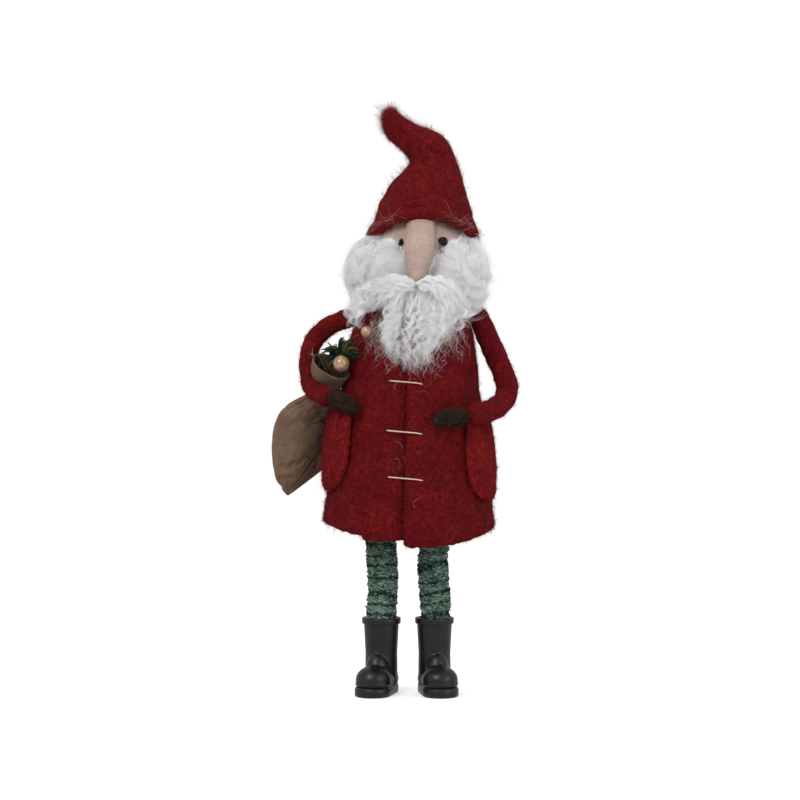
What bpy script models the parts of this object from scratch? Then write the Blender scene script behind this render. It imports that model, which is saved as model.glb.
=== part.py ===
"""A felt tomte figure that stands on two boots and carries a small sack of greenery under one arm.

Metres, +Z up. The figure faces -Y, and left and right are its own, so its left side is +X.
The origin is on the floor, in the middle of the box that the figure fills. The sizes below
count from the point midway between the boots, which TO_ORIGIN brings to its place.
"""

import math

import bmesh
import bpy
from mathutils import Vector

MM = 0.001
GAP = 0.3 * MM  # room between pieces that touch
TO_ORIGIN = Vector((4.5, 0.7, 0.0)) * MM

# Coat: a cone of felt wrapped round the core and open down the front.
# Each row is height, half width and middle of the cone across X.
COAT_ROWS = (
    (61.0, 31.0, 0.1),
    (72.0, 29.6, 0.3),
    (90.0, 27.5, 0.6),
    (108.0, 25.0, 0.9),
    (125.0, 22.7, 1.3),
    (131.0, 21.0, 1.5),
    (135.2, 18.2, 1.7),
    (137.9, 13.4, 1.9),
    (139.2, 4.4, 2.0),
)
COAT_TOP = 139.2
COAT_ROUND = 0.84  # depth of the cone over its width
COAT_WALL = 2.2 * MM
HEM_DIP = 5.5  # how much lower the hem hangs in front than at the sides
SLIT_TURN = math.radians(-3.4)  # the front opening lies a little to the figure's right
SLIT_HALF = math.radians(0.9)

CORE_FLOOR = 63.0  # underside of the stuffed core, just inside the hem
CORE_INSET = 3.9  # coat wall and its clearance
CORE_SHOULDER = 132.6  # top of the core, which slopes in under the coat's shoulders
CORE_SLOPE = 8.5

# Boots, legs and stockings.
BOOT_X = {"right": -9.6, "left": 9.5}
BOOT_TURN = {"right": math.radians(-18), "left": math.radians(12)}
BOOT_TOP = 27.3
COLLAR_HEIGHT = 2.3
COLLAR_RADIUS = 7.0
SHAFT_RADIUS = 6.1
BOOT_BORE = 5.5
BORE_FLOOR = 9.0
SOLE_HEIGHT = 3.5
SOLE_HALF_WIDTH = 6.7
TOE_REACH = 9.6  # middle of the toe's curve, ahead of the shaft
HEEL_REACH = 1.2
LEG_RADIUS = 2.6
LEG_TOP = 92.0
STOCKING_RADIUS = 5.1
STOCKING_TOP = 55.0
STOCKING_BUNCH = 0.35  # how far each gathered ring stands out
STOCKING_RINGS = 5

# Head.
HEAD_MIDDLE = (4.8, -0.5, 158.5)
HEAD_RADII = (17.3, 16.7, 18.0)
NECK_RADIUS = 2.2
NECK_FOOT = 118.0
NECK_HEAD = 152.0
EYE_RADIUS = 1.4
EYES = {"right": (-3.1, -15.9, 160.8), "left": (12.1, -15.9, 161.2)}
SIDE_HAIR = {
    "right": ((-11.6, -5.0, 150.3), (10.8, 12.4, 12.6)),
    "left": ((20.2, -5.0, 149.6), (8.6, 12.4, 13.2)),
}
BACK_HAIR = ((4.8, 9.5, 148.6), (16.4, 11.0, 9.6))

# Arms: the stretches run from the shoulder to the elbow and from the elbow to the wrist.
SHOULDERS = {"right": (-22.6, -1.0, 134.4), "left": (25.9, -1.0, 133.8)}
ELBOWS = {"right": (-35.4, -3.4, 113.2), "left": (35.6, -3.2, 109.8)}
UPPER_ROUTE = {
    "right": (
        SHOULDERS["right"],
        (-28.2, -1.4, 132.0),
        (-32.9, -2.0, 127.9),
        (-35.6, -2.6, 121.6),
        ELBOWS["right"],
    ),
    "left": (SHOULDERS["left"], (30.4, -1.4, 123.6), (33.9, -2.2, 115.6), ELBOWS["left"]),
}
LOWER_ROUTE = {
    "right": (ELBOWS["right"], (-33.8, -6.4, 109.6), (-30.8, -10.4, 107.2), (-27.6, -13.6, 105.9)),
    "left": (ELBOWS["left"], (33.8, -7.6, 104.6), (28.6, -13.8, 101.6), (21.9, -18.9, 99.9)),
}
SLEEVE_RADIUS = {"right": 3.3, "left": 3.9}
ELBOW_ROOM = 1.45  # radius left free round an elbow, in sleeve radii
MITTENS = {
    "right": ((-22.7, -16.9, 104.1), (5.4, 3.3, 4.1), -0.46),
    "left": ((14.7, -23.5, 98.8), (6.7, 3.1, 3.6), 0.41),
}
WIRE_RADIUS = 0.6
WIRE_BEND_ROOM = 0.5  # how far from a joint's middle an arm's wire starts
BORE_OVERRUN = 2.0  # how far a wire's bore runs past a sleeve's ends, in sleeve radii
SHOULDER_WIRE_BACK = 5.0  # how far behind the neck peg the wire passes
SHOULDER_WIRE_DROP = 2.0

# Sack: middle, direction of its width, half width and half thickness, from seam to mouth.
SACK_SECTIONS = (
    ((-36.3, 8.6, 76.2), (0.70, 0.48, 0.53), 10.6, 1.3),
    ((-37.2, 8.8, 80.4), (0.72, 0.53, 0.44), 12.4, 4.4),
    ((-38.1, 8.6, 87.0), (0.75, 0.58, 0.30), 12.8, 6.6),
    ((-38.2, 7.6, 94.0), (0.79, 0.59, 0.18), 11.8, 6.6),
    ((-36.4, 5.4, 100.6), (0.82, 0.57, 0.06), 9.4, 5.4),
    ((-32.2, 2.8, 106.2), (0.86, 0.50, 0.0), 6.0, 4.3),
    ((-28.0, -1.0, 111.5), (0.98, 0.20, 0.0), 3.3, 3.9),
    ((-27.8, -5.2, 115.0), (0.95, 0.0, -0.32), 4.6, 3.9),
    ((-28.0, -9.4, 117.4), (0.87, 0.0, -0.49), 7.2, 4.8),
)
SACK_WALL = 0.8 * MM
SACK_CLOTH_AND_GAP = 1.6
FILLING_SECTIONS = slice(1, 6)  # the stuffing stops below the neck

# Berries and sprigs, which come out of the sack's mouth.
BERRIES = {
    "large": ((-23.7, -13.4, 118.3), 2.9),
    "small": ((-14.6, -18.0, 129.4), 2.0),
}
BERRY_STEMS = {
    "large": ((-27.2, -8.4, 114.9), (-27.0, -9.4, 117.6), (-26.2, -11.0, 118.9)),
    "small": (
        (-28.6, -9.4, 116.8),
        (-25.2, -12.0, 122.6),
        (-20.8, -15.4, 126.6),
        (-17.2, -17.2, 128.4),
    ),
}
STEM_RADIUS = 0.3
SPRIGS = {
    "1": ((-30.2, -8.4, 116.4), (-30.0, -12.0, 121.6), (-27.2, -14.2, 127.6)),
    "2": ((-28.4, -6.4, 116.4), (-25.8, -9.2, 121.4), (-23.4, -11.4, 126.8), (-22.6, -13.2, 130.2)),
    "3": ((-25.4, -7.6, 116.2), (-22.4, -11.2, 123.4), (-19.0, -14.9, 124.6), (-16.6, -17.2, 122.6)),
}
SPRIG_RADIUS = 0.8

# Trim.
TOGGLES = {"upper": (112.2, -6.6, 4.9), "middle": (94.8, -7.6, 4.9), "lower": (78.6, -7.0, 5.2)}
TOGGLE_SLOPE = -0.09
TOGGLE_RADIUS = 0.35
POCKET_TURN = {"right": math.radians(-63.0), "left": math.radians(63.0)}
POCKET_TOP = {"right": 99.0, "left": 95.5}
POCKET_FOOT = {"right": 73.6, "left": 70.0}
POCKET_HALF_TURN = math.radians(18.0)
POCKET_WALL = 2.4 * MM

MATERIALS = {
    "red_felt": ((0.235, 0.012, 0.016), 0.95, 0.0),
    "skin_felt": ((0.58, 0.37, 0.28), 0.95, 0.0),
    "white_wool": ((0.78, 0.78, 0.77), 0.9, 0.0),
    "mitten_felt": ((0.045, 0.028, 0.02), 0.95, 0.0),
    "sack_cloth": ((0.115, 0.078, 0.052), 0.92, 0.0),
    "stocking_knit": ((0.055, 0.125, 0.095), 0.95, 0.0),
    "boot_plastic": ((0.013, 0.012, 0.016), 0.45, 0.0),
    "core_felt": ((0.36, 0.22, 0.17), 0.95, 0.0),
    "peg_wood": ((0.48, 0.3, 0.18), 0.7, 0.0),
    "steel_wire": ((0.42, 0.42, 0.43), 0.4, 1.0),
    "eye_bead": ((0.02, 0.02, 0.014), 0.35, 0.0),
    "toggle_thread": ((0.78, 0.6, 0.42), 0.8, 0.0),
    "berry_pearl": ((0.45, 0.24, 0.1), 0.3, 0.5),
    "leaf_green": ((0.022, 0.045, 0.02), 0.7, 0.0),
    "stem_brown": ((0.11, 0.06, 0.03), 0.7, 0.0),
}


def clear_scene():
    for obj in list(bpy.data.objects):
        bpy.data.objects.remove(obj)


def new_collection(name):
    collection = bpy.data.collections.new(name)
    bpy.context.scene.collection.children.link(collection)
    return collection


def make_material(name):
    colour, roughness, metallic = MATERIALS[name]
    material = bpy.data.materials.get(name)
    if material:
        return material
    material = bpy.data.materials.new(name)
    material.use_nodes = True
    shader = material.node_tree.nodes["Principled BSDF"]
    shader.inputs["Base Color"].default_value = (*colour, 1.0)
    shader.inputs["Roughness"].default_value = roughness
    shader.inputs["Metallic"].default_value = metallic
    return material


def add_object(name, data, material):
    obj = bpy.data.objects.new(name, data)
    FIGURE.objects.link(obj)
    if material:
        data.materials.append(make_material(material))
    return obj


def mesh_object(name, bm, material, smooth=True):
    mesh = bpy.data.meshes.new(name)
    bm.to_mesh(mesh)
    bm.free()
    if smooth:
        mesh.shade_smooth()
        mesh.set_sharp_from_angle(angle=math.radians(50))
    return add_object(name, mesh, material)


def as_cutter(obj):
    """Moves an object to the cutters, which aren't part of the figure."""
    FIGURE.objects.unlink(obj)
    CUTTERS.objects.link(obj)
    obj.hide_render = True
    obj.display_type = "WIRE"
    return obj


def cut(obj, *cutters):
    for cutter in cutters:
        modifier = obj.modifiers.new(f"cut {cutter.name}", "BOOLEAN")
        modifier.operation = "DIFFERENCE"
        modifier.object = cutter
        modifier.solver = "EXACT"
    return obj


def join(obj, *others):
    for other in others:
        modifier = obj.modifiers.new(f"join {other.name}", "BOOLEAN")
        modifier.operation = "UNION"
        modifier.object = other
        modifier.solver = "EXACT"
    return obj


def mm(point):
    return Vector(point) * MM


def ball(name, middle, radii, material, turn=0.0, segments=16, rings=9):
    """A stretched ball, turned about +Z, with its size in millimetres."""
    bm = bmesh.new()
    bmesh.ops.create_uvsphere(bm, u_segments=segments, v_segments=rings, radius=1.0)
    bmesh.ops.scale(bm, vec=Vector(radii) * MM, verts=bm.verts)
    obj = mesh_object(name, bm, material)
    obj.location = mm(middle)
    obj.rotation_euler.z = turn
    return obj


def peg(name, middle_x, middle_y, foot, top, radius, material, sides=16):
    """A round peg along +Z, with its size in millimetres."""
    bm = bmesh.new()
    bmesh.ops.create_cone(
        bm,
        cap_ends=True,
        segments=sides,
        radius1=radius * MM,
        radius2=radius * MM,
        depth=(top - foot) * MM,
    )
    obj = mesh_object(name, bm, material)
    obj.location = mm((middle_x, middle_y, (foot + top) / 2))
    return obj


def smooth_route(points, steps):
    """Points of a smooth curve through the given ones, with this many steps between each two."""
    points = [Vector(point) for point in points]
    ends = [2 * points[0] - points[1], *points, 2 * points[-1] - points[-2]]
    route = []
    for a, b, c, d in zip(ends, ends[1:], ends[2:], ends[3:]):
        for i in range(steps):
            t = i / steps
            curve = 2 * b + (c - a) * t + (2 * a - 5 * b + 4 * c - d) * t**2
            route.append((curve + (3 * b - a - 3 * c + d) * t**3) / 2)
    route.append(points[-1])
    return route


def tube(name, points, radius, material, taper=lambda t: 1.0, resolution=2):
    """A tube along points in millimetres. taper gives the radius along it, over its full radius."""
    curve = bpy.data.curves.new(name, "CURVE")
    curve.dimensions = "3D"
    curve.bevel_depth = radius * MM
    curve.bevel_resolution = resolution
    curve.use_fill_caps = True
    spline = curve.splines.new("POLY")
    spline.points.add(len(points) - 1)
    for i, (spot, point) in enumerate(zip(spline.points, points)):
        spot.co = (*mm(point), 1.0)
        spot.radius = taper(i / (len(points) - 1))
    return add_object(name, curve, material)


def to_mesh(obj):
    """Makes a curve object a closed mesh object with the same name."""
    name = obj.name
    bpy.context.view_layer.update()
    evaluated = obj.evaluated_get(bpy.context.evaluated_depsgraph_get())
    mesh = bpy.data.meshes.new_from_object(evaluated)
    bm = bmesh.new()
    bm.from_mesh(mesh)
    bmesh.ops.remove_doubles(bm, verts=bm.verts, dist=0.01 * MM)
    bmesh.ops.recalc_face_normals(bm, faces=bm.faces)
    bm.to_mesh(mesh)
    bm.free()
    matrix = obj.matrix_world.copy()
    bpy.data.objects.remove(obj)
    solid = bpy.data.objects.new(name, mesh)
    solid.matrix_world = matrix
    FIGURE.objects.link(solid)
    return solid


def loft(name, sections, material, sides=20, open_start=False, open_end=False, grow=0.0):
    """A skin through oval sections: middle, width direction, half width and half thickness."""
    middles = [Vector(section[0]) for section in sections]
    bm = bmesh.new()
    rings = []
    for i, (middle, width, half_width, half_depth) in enumerate(sections):
        ahead = middles[min(i + 1, len(middles) - 1)] - middles[max(i - 1, 0)]
        across = Vector(width).normalized()
        along = ahead.cross(across).normalized()
        if i in (0, len(sections) - 1):
            outward = ahead.normalized() * grow * (1 if i else -1)
            middle = Vector(middle) + outward
        ring = []
        for k in range(sides):
            angle = 2 * math.pi * k / sides
            spot = across * math.cos(angle) * (half_width + grow)
            spot += along * math.sin(angle) * (half_depth + grow)
            ring.append(bm.verts.new(mm(Vector(middle) + spot)))
        rings.append(ring)
    for low, high in zip(rings, rings[1:]):
        for k in range(sides):
            j = (k + 1) % sides
            bm.faces.new((low[k], low[j], high[j], high[k]))
    if not open_start:
        bm.faces.new(list(reversed(rings[0])))
    if not open_end:
        bm.faces.new(rings[-1])
    return mesh_object(name, bm, material)


def thicken(obj, wall):
    """Gives an open skin its wall, on its inner side."""
    modifier = obj.modifiers.new("wall", "SOLIDIFY")
    modifier.thickness = wall
    modifier.offset = -1.0
    modifier.use_even_offset = True
    return obj


def coat_size(height):
    """Half width and middle of the coat at a height, in millimetres."""
    rows = COAT_ROWS
    for (z0, w0, x0), (z1, w1, x1) in zip(rows, rows[1:]):
        if height <= z1 or z1 == rows[-1][0]:
            share = (height - z0) / (z1 - z0)
            return w0 + (w1 - w0) * share, x0 + (x1 - x0) * share


def on_coat(turn, height, lift=0.0):
    """The point on the coat at a turn from the front, towards the figure's left, in millimetres."""
    half, middle = coat_size(height)
    across = math.sin(turn)
    ahead = -math.cos(turn)
    return Vector((middle + (half + lift) * across, (half * COAT_ROUND + lift) * ahead, height))


def turn_at(x, height):
    """The turn at which the coat's front passes an X, in millimetres."""
    half, middle = coat_size(height)
    return math.asin((x - middle) / half)


def coat_solid(name, lift, foot):
    """The closed cone that the coat follows, larger by lift or smaller by it."""
    rows = [foot, *(row[0] for row in COAT_ROWS if row[0] > foot + 1)]
    sections = []
    for height in rows:
        half, middle = coat_size(height)
        half += lift
        top = height + (lift if height > COAT_TOP - 6 else 0)
        sections.append(((middle, 0, top), (1, 0, 0), half, half * COAT_ROUND))
    return loft(name, sections, None, sides=28)


def make_coat():
    columns, rows = 28, len(COAT_ROWS) - 1
    bm = bmesh.new()
    bmesh.ops.create_grid(bm, x_segments=columns, y_segments=rows, size=1.0)
    for vert in bm.verts:
        wrap = (vert.co.x + 1) / 2
        row = round((vert.co.y + 1) / 2 * rows)
        height = COAT_ROWS[row][0]
        turn = SLIT_TURN + SLIT_HALF + wrap * 2 * (math.pi - SLIT_HALF)
        spot = on_coat(turn, height)
        dip = max(0.0, math.cos(turn)) ** 2 * HEM_DIP
        if row < 2:
            spot.z -= dip * (1.0, 0.35)[row]
        vert.co = mm(spot)
    coat = thicken(mesh_object("coat", bm, "red_felt"), COAT_WALL)
    return coat


def make_pocket(side):
    """A tongue of felt with a round foot, standing off the coat by its clearance."""
    columns, rows = 8, 8
    top, foot = POCKET_TOP[side], POCKET_FOOT[side]
    bm = bmesh.new()
    bmesh.ops.create_grid(bm, x_segments=columns, y_segments=rows, size=1.0)
    for vert in bm.verts:
        down = (1 - vert.co.y) / 2
        narrow = math.sqrt(1 - max(0.0, (down - 0.55) / 0.5) ** 2)
        turn = POCKET_TURN[side] + vert.co.x * POCKET_HALF_TURN * (0.86 + 0.14 * down) * narrow
        height = top + (foot - top) * down
        vert.co = mm(on_coat(turn, height, lift=POCKET_WALL / MM + 0.5))
    return thicken(mesh_object(f"pocket_{side}", bm, "red_felt"), POCKET_WALL)


def make_boot(side):
    """A round-toed boot with a welt, a rolled collar and a socket for the leg."""
    turn = BOOT_TURN[side]
    spot = (BOOT_X[side], 0.0)

    def placed(x, y, z):
        return (
            spot[0] + x * math.cos(turn) - y * math.sin(turn),
            spot[1] + x * math.sin(turn) + y * math.cos(turn),
            z,
        )

    shaft = peg(f"boot_{side}", *spot, 1.6, BOOT_TOP - 0.6, SHAFT_RADIUS, "boot_plastic", 20)
    collar_foot = BOOT_TOP - COLLAR_HEIGHT
    collar = peg(f"boot_{side}_collar", *spot, collar_foot, BOOT_TOP, COLLAR_RADIUS, None, 20)
    outline = bpy.data.curves.new(f"boot_{side}_sole", "CURVE")
    outline.dimensions = "2D"
    outline.fill_mode = "BOTH"
    outline.extrude = SOLE_HEIGHT / 2 * MM
    spline = outline.splines.new("POLY")
    round_steps = 8
    points = []
    for middle_y, half, start in (
        (-TOE_REACH, SOLE_HALF_WIDTH, math.pi),
        (HEEL_REACH, SOLE_HALF_WIDTH - 0.7, 0.0),
    ):
        for i in range(round_steps + 1):
            angle = start + math.pi * i / round_steps
            points.append((half * math.cos(angle), middle_y + half * math.sin(angle)))
    spline.points.add(len(points) - 1)
    for control, (x, y) in zip(spline.points, points):
        control.co = (x * MM, y * MM, 0.0, 1.0)
    spline.use_cyclic_u = True
    sole = add_object(f"boot_{side}_sole", outline, None)
    sole.location = mm((*spot, SOLE_HEIGHT / 2))
    sole.rotation_euler.z = turn
    sole = to_mesh(sole)
    toe = ball(f"boot_{side}_toe", placed(0, -8.6, 5.2), (6.3, 6.9, 5.6), None, turn)
    instep = ball(f"boot_{side}_instep", placed(0, -3.4, 8.0), (5.6, 6.4, 7.6), None, turn)
    heel = ball(f"boot_{side}_heel", placed(0, 1.0, 4.6), (5.8, 5.6, 4.4), None, turn)
    socket = peg(f"boot_{side}_socket", *spot, BORE_FLOOR, BOOT_TOP + 2, BOOT_BORE, None, 20)
    floor = peg(f"boot_{side}_under", *spot, -12.0, 0.0, 30.0, None, 8)
    join(shaft, *(as_cutter(piece) for piece in (collar, sole, toe, instep, heel)))
    cut(shaft, as_cutter(socket), as_cutter(floor))
    return shaft


def make_leg(side):
    """The wrapped leg peg and its gathered stocking, which stand in the boot's socket."""
    x = BOOT_X[side]
    foot = BORE_FLOOR + GAP / MM
    peg(f"leg_{side}", x, 0.0, foot, LEG_TOP, LEG_RADIUS, "core_felt")
    steps = 4 * STOCKING_RINGS
    points = []
    radii = []
    for i in range(steps + 1):
        height = foot + (STOCKING_TOP - foot) * i / steps
        bunch = STOCKING_BUNCH * math.sin(2 * math.pi * STOCKING_RINGS * i / steps)
        clear = height < BOOT_TOP + 1
        points.append((x, 0.0, height))
        radii.append(STOCKING_RADIUS - 0.05 if clear else STOCKING_RADIUS + bunch)
    curve = tube(
        f"stocking_{side}",
        points,
        STOCKING_RADIUS,
        "stocking_knit",
        taper=lambda t: radii[round(t * steps)] / STOCKING_RADIUS,
    )
    stocking = to_mesh(curve)
    bore = peg(f"stocking_{side}_bore", x, 0.0, 0.0, LEG_TOP, LEG_RADIUS + GAP / MM, None)
    return cut(stocking, as_cutter(bore))


def make_core():
    """The stuffed body, with holes for both legs, the neck peg and the shoulder wire."""
    sections = []
    for height in (CORE_FLOOR, *(row[0] for row in COAT_ROWS if CORE_FLOOR < row[0] < CORE_SHOULDER - 3)):
        half, middle = coat_size(height)
        half -= CORE_INSET
        sections.append(((middle, 0, height), (1, 0, 0), half, half * COAT_ROUND))
    half, middle = coat_size(CORE_SHOULDER)
    sections.append(((middle, 0, CORE_SHOULDER), (1, 0, 0), half - CORE_SLOPE, half * COAT_ROUND - CORE_SLOPE))
    core = loft("body_core", sections, "core_felt", sides=24)
    room = GAP / MM
    for side, x in BOOT_X.items():
        hole = peg(f"core_leg_{side}", x, 0.0, 40.0, LEG_TOP + room, LEG_RADIUS + room, None)
        cut(core, as_cutter(hole))
    return core


def trimmed(route, start_room, end_room):
    """The route without what lies this near its first and its last point, in millimetres."""
    start, end = route[0], route[-1]
    kept = [p for p in route if (p - start).length > start_room and (p - end).length > end_room]
    if start_room:
        kept.insert(0, start + (kept[0] - start).normalized() * start_room)
    if end_room:
        kept.append(end + (kept[-1] - end).normalized() * end_room)
    return kept


def shoulder_wire_route():
    right, left = Vector(SHOULDERS["right"]), Vector(SHOULDERS["left"])
    middle = (right + left) / 2 + Vector((0, SHOULDER_WIRE_BACK, -SHOULDER_WIRE_DROP))
    room = GAP / MM
    ends = (SLEEVE_RADIUS["right"] + room, SLEEVE_RADIUS["left"] + room)
    return trimmed(smooth_route((right, middle, left), 5), *ends)


def make_inner_wire(core, coat):
    route = shoulder_wire_route()
    tube("shoulder_wire", route, WIRE_RADIUS, "steel_wire", resolution=1)
    bore = to_mesh(tube("shoulder_wire_bore", route, WIRE_RADIUS + GAP / MM, None))
    bore = as_cutter(bore)
    cut(core, bore)
    cut(coat, bore)


def make_neck(core):
    x, y, _ = HEAD_MIDDLE
    room = GAP / MM
    x = x * 0.6
    peg("neck_peg", x, y, NECK_FOOT, NECK_HEAD, NECK_RADIUS, "peg_wood")
    bore = peg("neck_bore", x, y, NECK_FOOT - room, NECK_HEAD + room, NECK_RADIUS + room, None)
    bore = as_cutter(bore)
    cut(core, bore)
    return bore


def make_arm(side):
    """A wool sleeve over a wire, in two stretches that meet in a round elbow, and a mitten."""
    radius = SLEEVE_RADIUS[side]
    room = GAP / MM
    upper = smooth_route(UPPER_ROUTE[side], 3)
    lower = smooth_route(LOWER_ROUTE[side], 3)
    elbow = Vector(ELBOWS[side])
    parts = {}
    for name, route in (("upper", upper), ("lower", lower)):
        sleeve = to_mesh(tube(f"sleeve_{name}_{side}", route, radius, "red_felt"))
        start = (route[1] - route[0]).normalized() * radius * BORE_OVERRUN
        finish = (route[-1] - route[-2]).normalized() * radius * BORE_OVERRUN
        end_room = radius + room if name == "upper" else room
        inside = trimmed(route, WIRE_BEND_ROOM, end_room)
        tube(f"arm_wire_{name}_{side}", inside, WIRE_RADIUS, "steel_wire", resolution=1)
        bore_route = [route[0] - start, *route[1:-1], route[-1] + finish]
        bore = to_mesh(tube(f"arm_bore_{name}_{side}", bore_route, WIRE_RADIUS + 1.4 * room, None))
        parts[name] = (sleeve, as_cutter(bore))
    upper_sleeve, upper_bore = parts["upper"]
    lower_sleeve, lower_bore = parts["lower"]
    rounding = dict(segments=12, rings=7)
    shoulder_ball = ball(f"shoulder_end_{side}", SHOULDERS[side], (radius,) * 3, None, **rounding)
    elbow_ball = ball(f"elbow_end_{side}", elbow, (radius,) * 3, None, **rounding)
    elbow_room = ball(f"elbow_room_{side}", elbow, (radius * ELBOW_ROOM,) * 3, None)
    join(upper_sleeve, as_cutter(shoulder_ball))
    cut(upper_sleeve, as_cutter(elbow_room), upper_bore)
    join(lower_sleeve, as_cutter(elbow_ball))
    middle, radii, turn = MITTENS[side]
    grown = tuple(value + room for value in radii)
    cuff = ball(f"mitten_room_{side}", middle, grown, None, turn)
    cut(lower_sleeve, as_cutter(cuff), lower_bore)
    ball(f"mitten_{side}", middle, radii, "mitten_felt", turn)


def hang_on(joint_name, place, pieces, parent=None):
    """An empty on a joint's axis, which carries the pieces that the joint moves."""
    empty = bpy.data.objects.new(joint_name, None)
    FIGURE.objects.link(empty)
    empty.empty_display_size = 5 * MM
    empty.location = mm(place)
    if parent:
        empty.parent = parent
        empty.matrix_parent_inverse = parent.matrix_world.inverted()
    bpy.context.view_layer.update()
    for name in pieces:
        piece = bpy.data.objects[name]
        piece.parent = empty
        piece.matrix_parent_inverse = empty.matrix_world.inverted()
    return empty


def hang_arms():
    carried = {
        "left": [],
        "right": [
            "sack",
            "sack_filling",
            *(f"{kind}_{name}" for name in BERRIES for kind in ("berry", "berry_stem")),
            *(f"leaf_sprig_{name}" for name in SPRIGS),
        ],
    }
    for side in ("right", "left"):
        upper = [f"sleeve_upper_{side}", f"arm_wire_upper_{side}", *carried[side]]
        lower = [f"sleeve_lower_{side}", f"arm_wire_lower_{side}", f"mitten_{side}"]
        shoulder = hang_on(f"shoulder_{side}", SHOULDERS[side], upper)
        hang_on(f"elbow_{side}", ELBOWS[side], lower, shoulder)


def move_to_origin():
    for obj in (*FIGURE.objects, *CUTTERS.objects):
        if not obj.parent:
            obj.location += TO_ORIGIN


def make_sack():
    sack = loft("sack", SACK_SECTIONS, "sack_cloth", sides=16, open_end=True)
    thicken(sack, SACK_WALL)
    filling = []
    for middle, width, half_width, half_depth in SACK_SECTIONS[FILLING_SECTIONS]:
        filling.append(
            (middle, width, half_width - SACK_CLOTH_AND_GAP, half_depth - SACK_CLOTH_AND_GAP)
        )
    loft("sack_filling", filling, "core_felt", sides=12)


def make_greenery():
    for name, (middle, radius) in BERRIES.items():
        ball(f"berry_{name}", middle, (radius,) * 3, "berry_pearl", segments=12, rings=7)
        stem = smooth_route(BERRY_STEMS[name], 3)
        tube(f"berry_stem_{name}", stem, STEM_RADIUS, "stem_brown", resolution=1)
    for name, points in SPRIGS.items():
        tube(
            f"leaf_sprig_{name}",
            smooth_route(points, 3),
            SPRIG_RADIUS,
            "leaf_green",
            taper=lambda t: 0.45 + 0.55 * math.sin(math.pi * min(1.0, 0.15 + t)),
            resolution=1,
        )


def make_toggles():
    for name, (height, x0, x1) in TOGGLES.items():
        points = []
        steps = 6
        for i in range(steps + 1):
            x = x0 + (x1 - x0) * i / steps
            level = height + TOGGLE_SLOPE * (x - x0)
            lift = TOGGLE_RADIUS + 0.45
            points.append(on_coat(turn_at(x, level), level, lift))
        tube(f"toggle_{name}", points, TOGGLE_RADIUS, "toggle_thread", resolution=1)


HAT_SECTIONS = (
    # middle, width direction, half width, half depth; the brim first, then up to the tip
    ((5.2, 0.0, 163.4), (1, 0, 0), 19.6, 18.8),
    ((5.5, 0.4, 169.5), (1, 0, 0), 18.3, 17.7),
    ((6.0, 0.6, 176.5), (1, 0, 0), 15.9, 15.4),
    ((6.9, 0.8, 183.5), (1, 0, 0), 12.9, 12.8),
    ((8.5, 0.8, 189.9), (1, 0, 0.10), 8.9, 9.6),
    ((7.7, 0.5, 195.3), (0.86, 0, 0.50), 7.1, 7.8),
    ((2.2, 0.2, 199.5), (0.78, 0, 0.62), 6.0, 6.3),
    ((-3.6, 0.0, 203.3), (0.74, 0, 0.67), 4.7, 4.9),
    ((-6.3, 0.0, 206.3), (0.80, 0, 0.60), 3.4, 3.6),
    ((-6.9, 0.0, 208.65), (0.86, 0, 0.50), 1.8, 2.0),
)
HAT_SIDES = 22
HAT_WALL = 1.8 * MM
BRIM_PITCH = 0.26  # rise of the brim towards the face, over its run

NOSE_SECTIONS = (
    ((4.8, -13.0, 168.6), (1, 0, 0), 3.6, 3.2),
    ((4.6, -15.8, 164.6), (1, 0, 0), 5.4, 4.4),
    ((4.4, -17.8, 159.0), (1, 0, 0), 6.0, 5.6),
    ((3.9, -19.2, 153.2), (1, 0, 0), 4.9, 5.4),
    ((3.4, -19.9, 149.2), (1, 0, 0), 3.4, 4.4),
    ((3.1, -20.2, 146.9), (1, 0, 0), 1.6, 2.4),
)

BEARD_SECTIONS = (
    ((3.6, -12.5, 152.0), (1, 0, 0), 14.0, 5.0),
    ((3.2, -15.0, 146.0), (1, 0, 0), 18.4, 7.6),
    ((2.6, -16.6, 139.0), (1, 0, 0), 18.6, 7.6),
    ((2.0, -18.8, 132.0), (1, 0, 0), 14.8, 6.2),
    ((1.4, -20.8, 126.0), (1, 0, 0), 9.4, 4.6),
    ((0.6, -22.0, 120.8), (1, 0, 0), 4.2, 3.0),
    ((0.4, -22.4, 118.4), (1, 0, 0), 1.6, 1.4),
)

MOUSTACHES = {
    "right": ((1.0, -22.4, 143.4), (-5.0, -23.4, 143.8), (-11.0, -21.8, 140.4), (-14.6, -19.8, 134.6)),
    "left": ((5.6, -22.4, 143.2), (11.0, -22.8, 143.6), (16.2, -20.4, 140.2), (18.6, -18.2, 135.6)),
}
MOUSTACHE_RADIUS = 2.5


def tilt_brim(obj):
    """Raises the front of the hat's lowest rings, so that the brim slopes back."""
    brim, top = HAT_SECTIONS[0][0][2], HAT_SECTIONS[3][0][2]
    for vert in obj.data.vertices:
        share = min(1.0, max(0.0, (top - vert.co.z / MM) / (top - brim)))
        vert.co.z -= vert.co.y * BRIM_PITCH * share
    return obj


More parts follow.
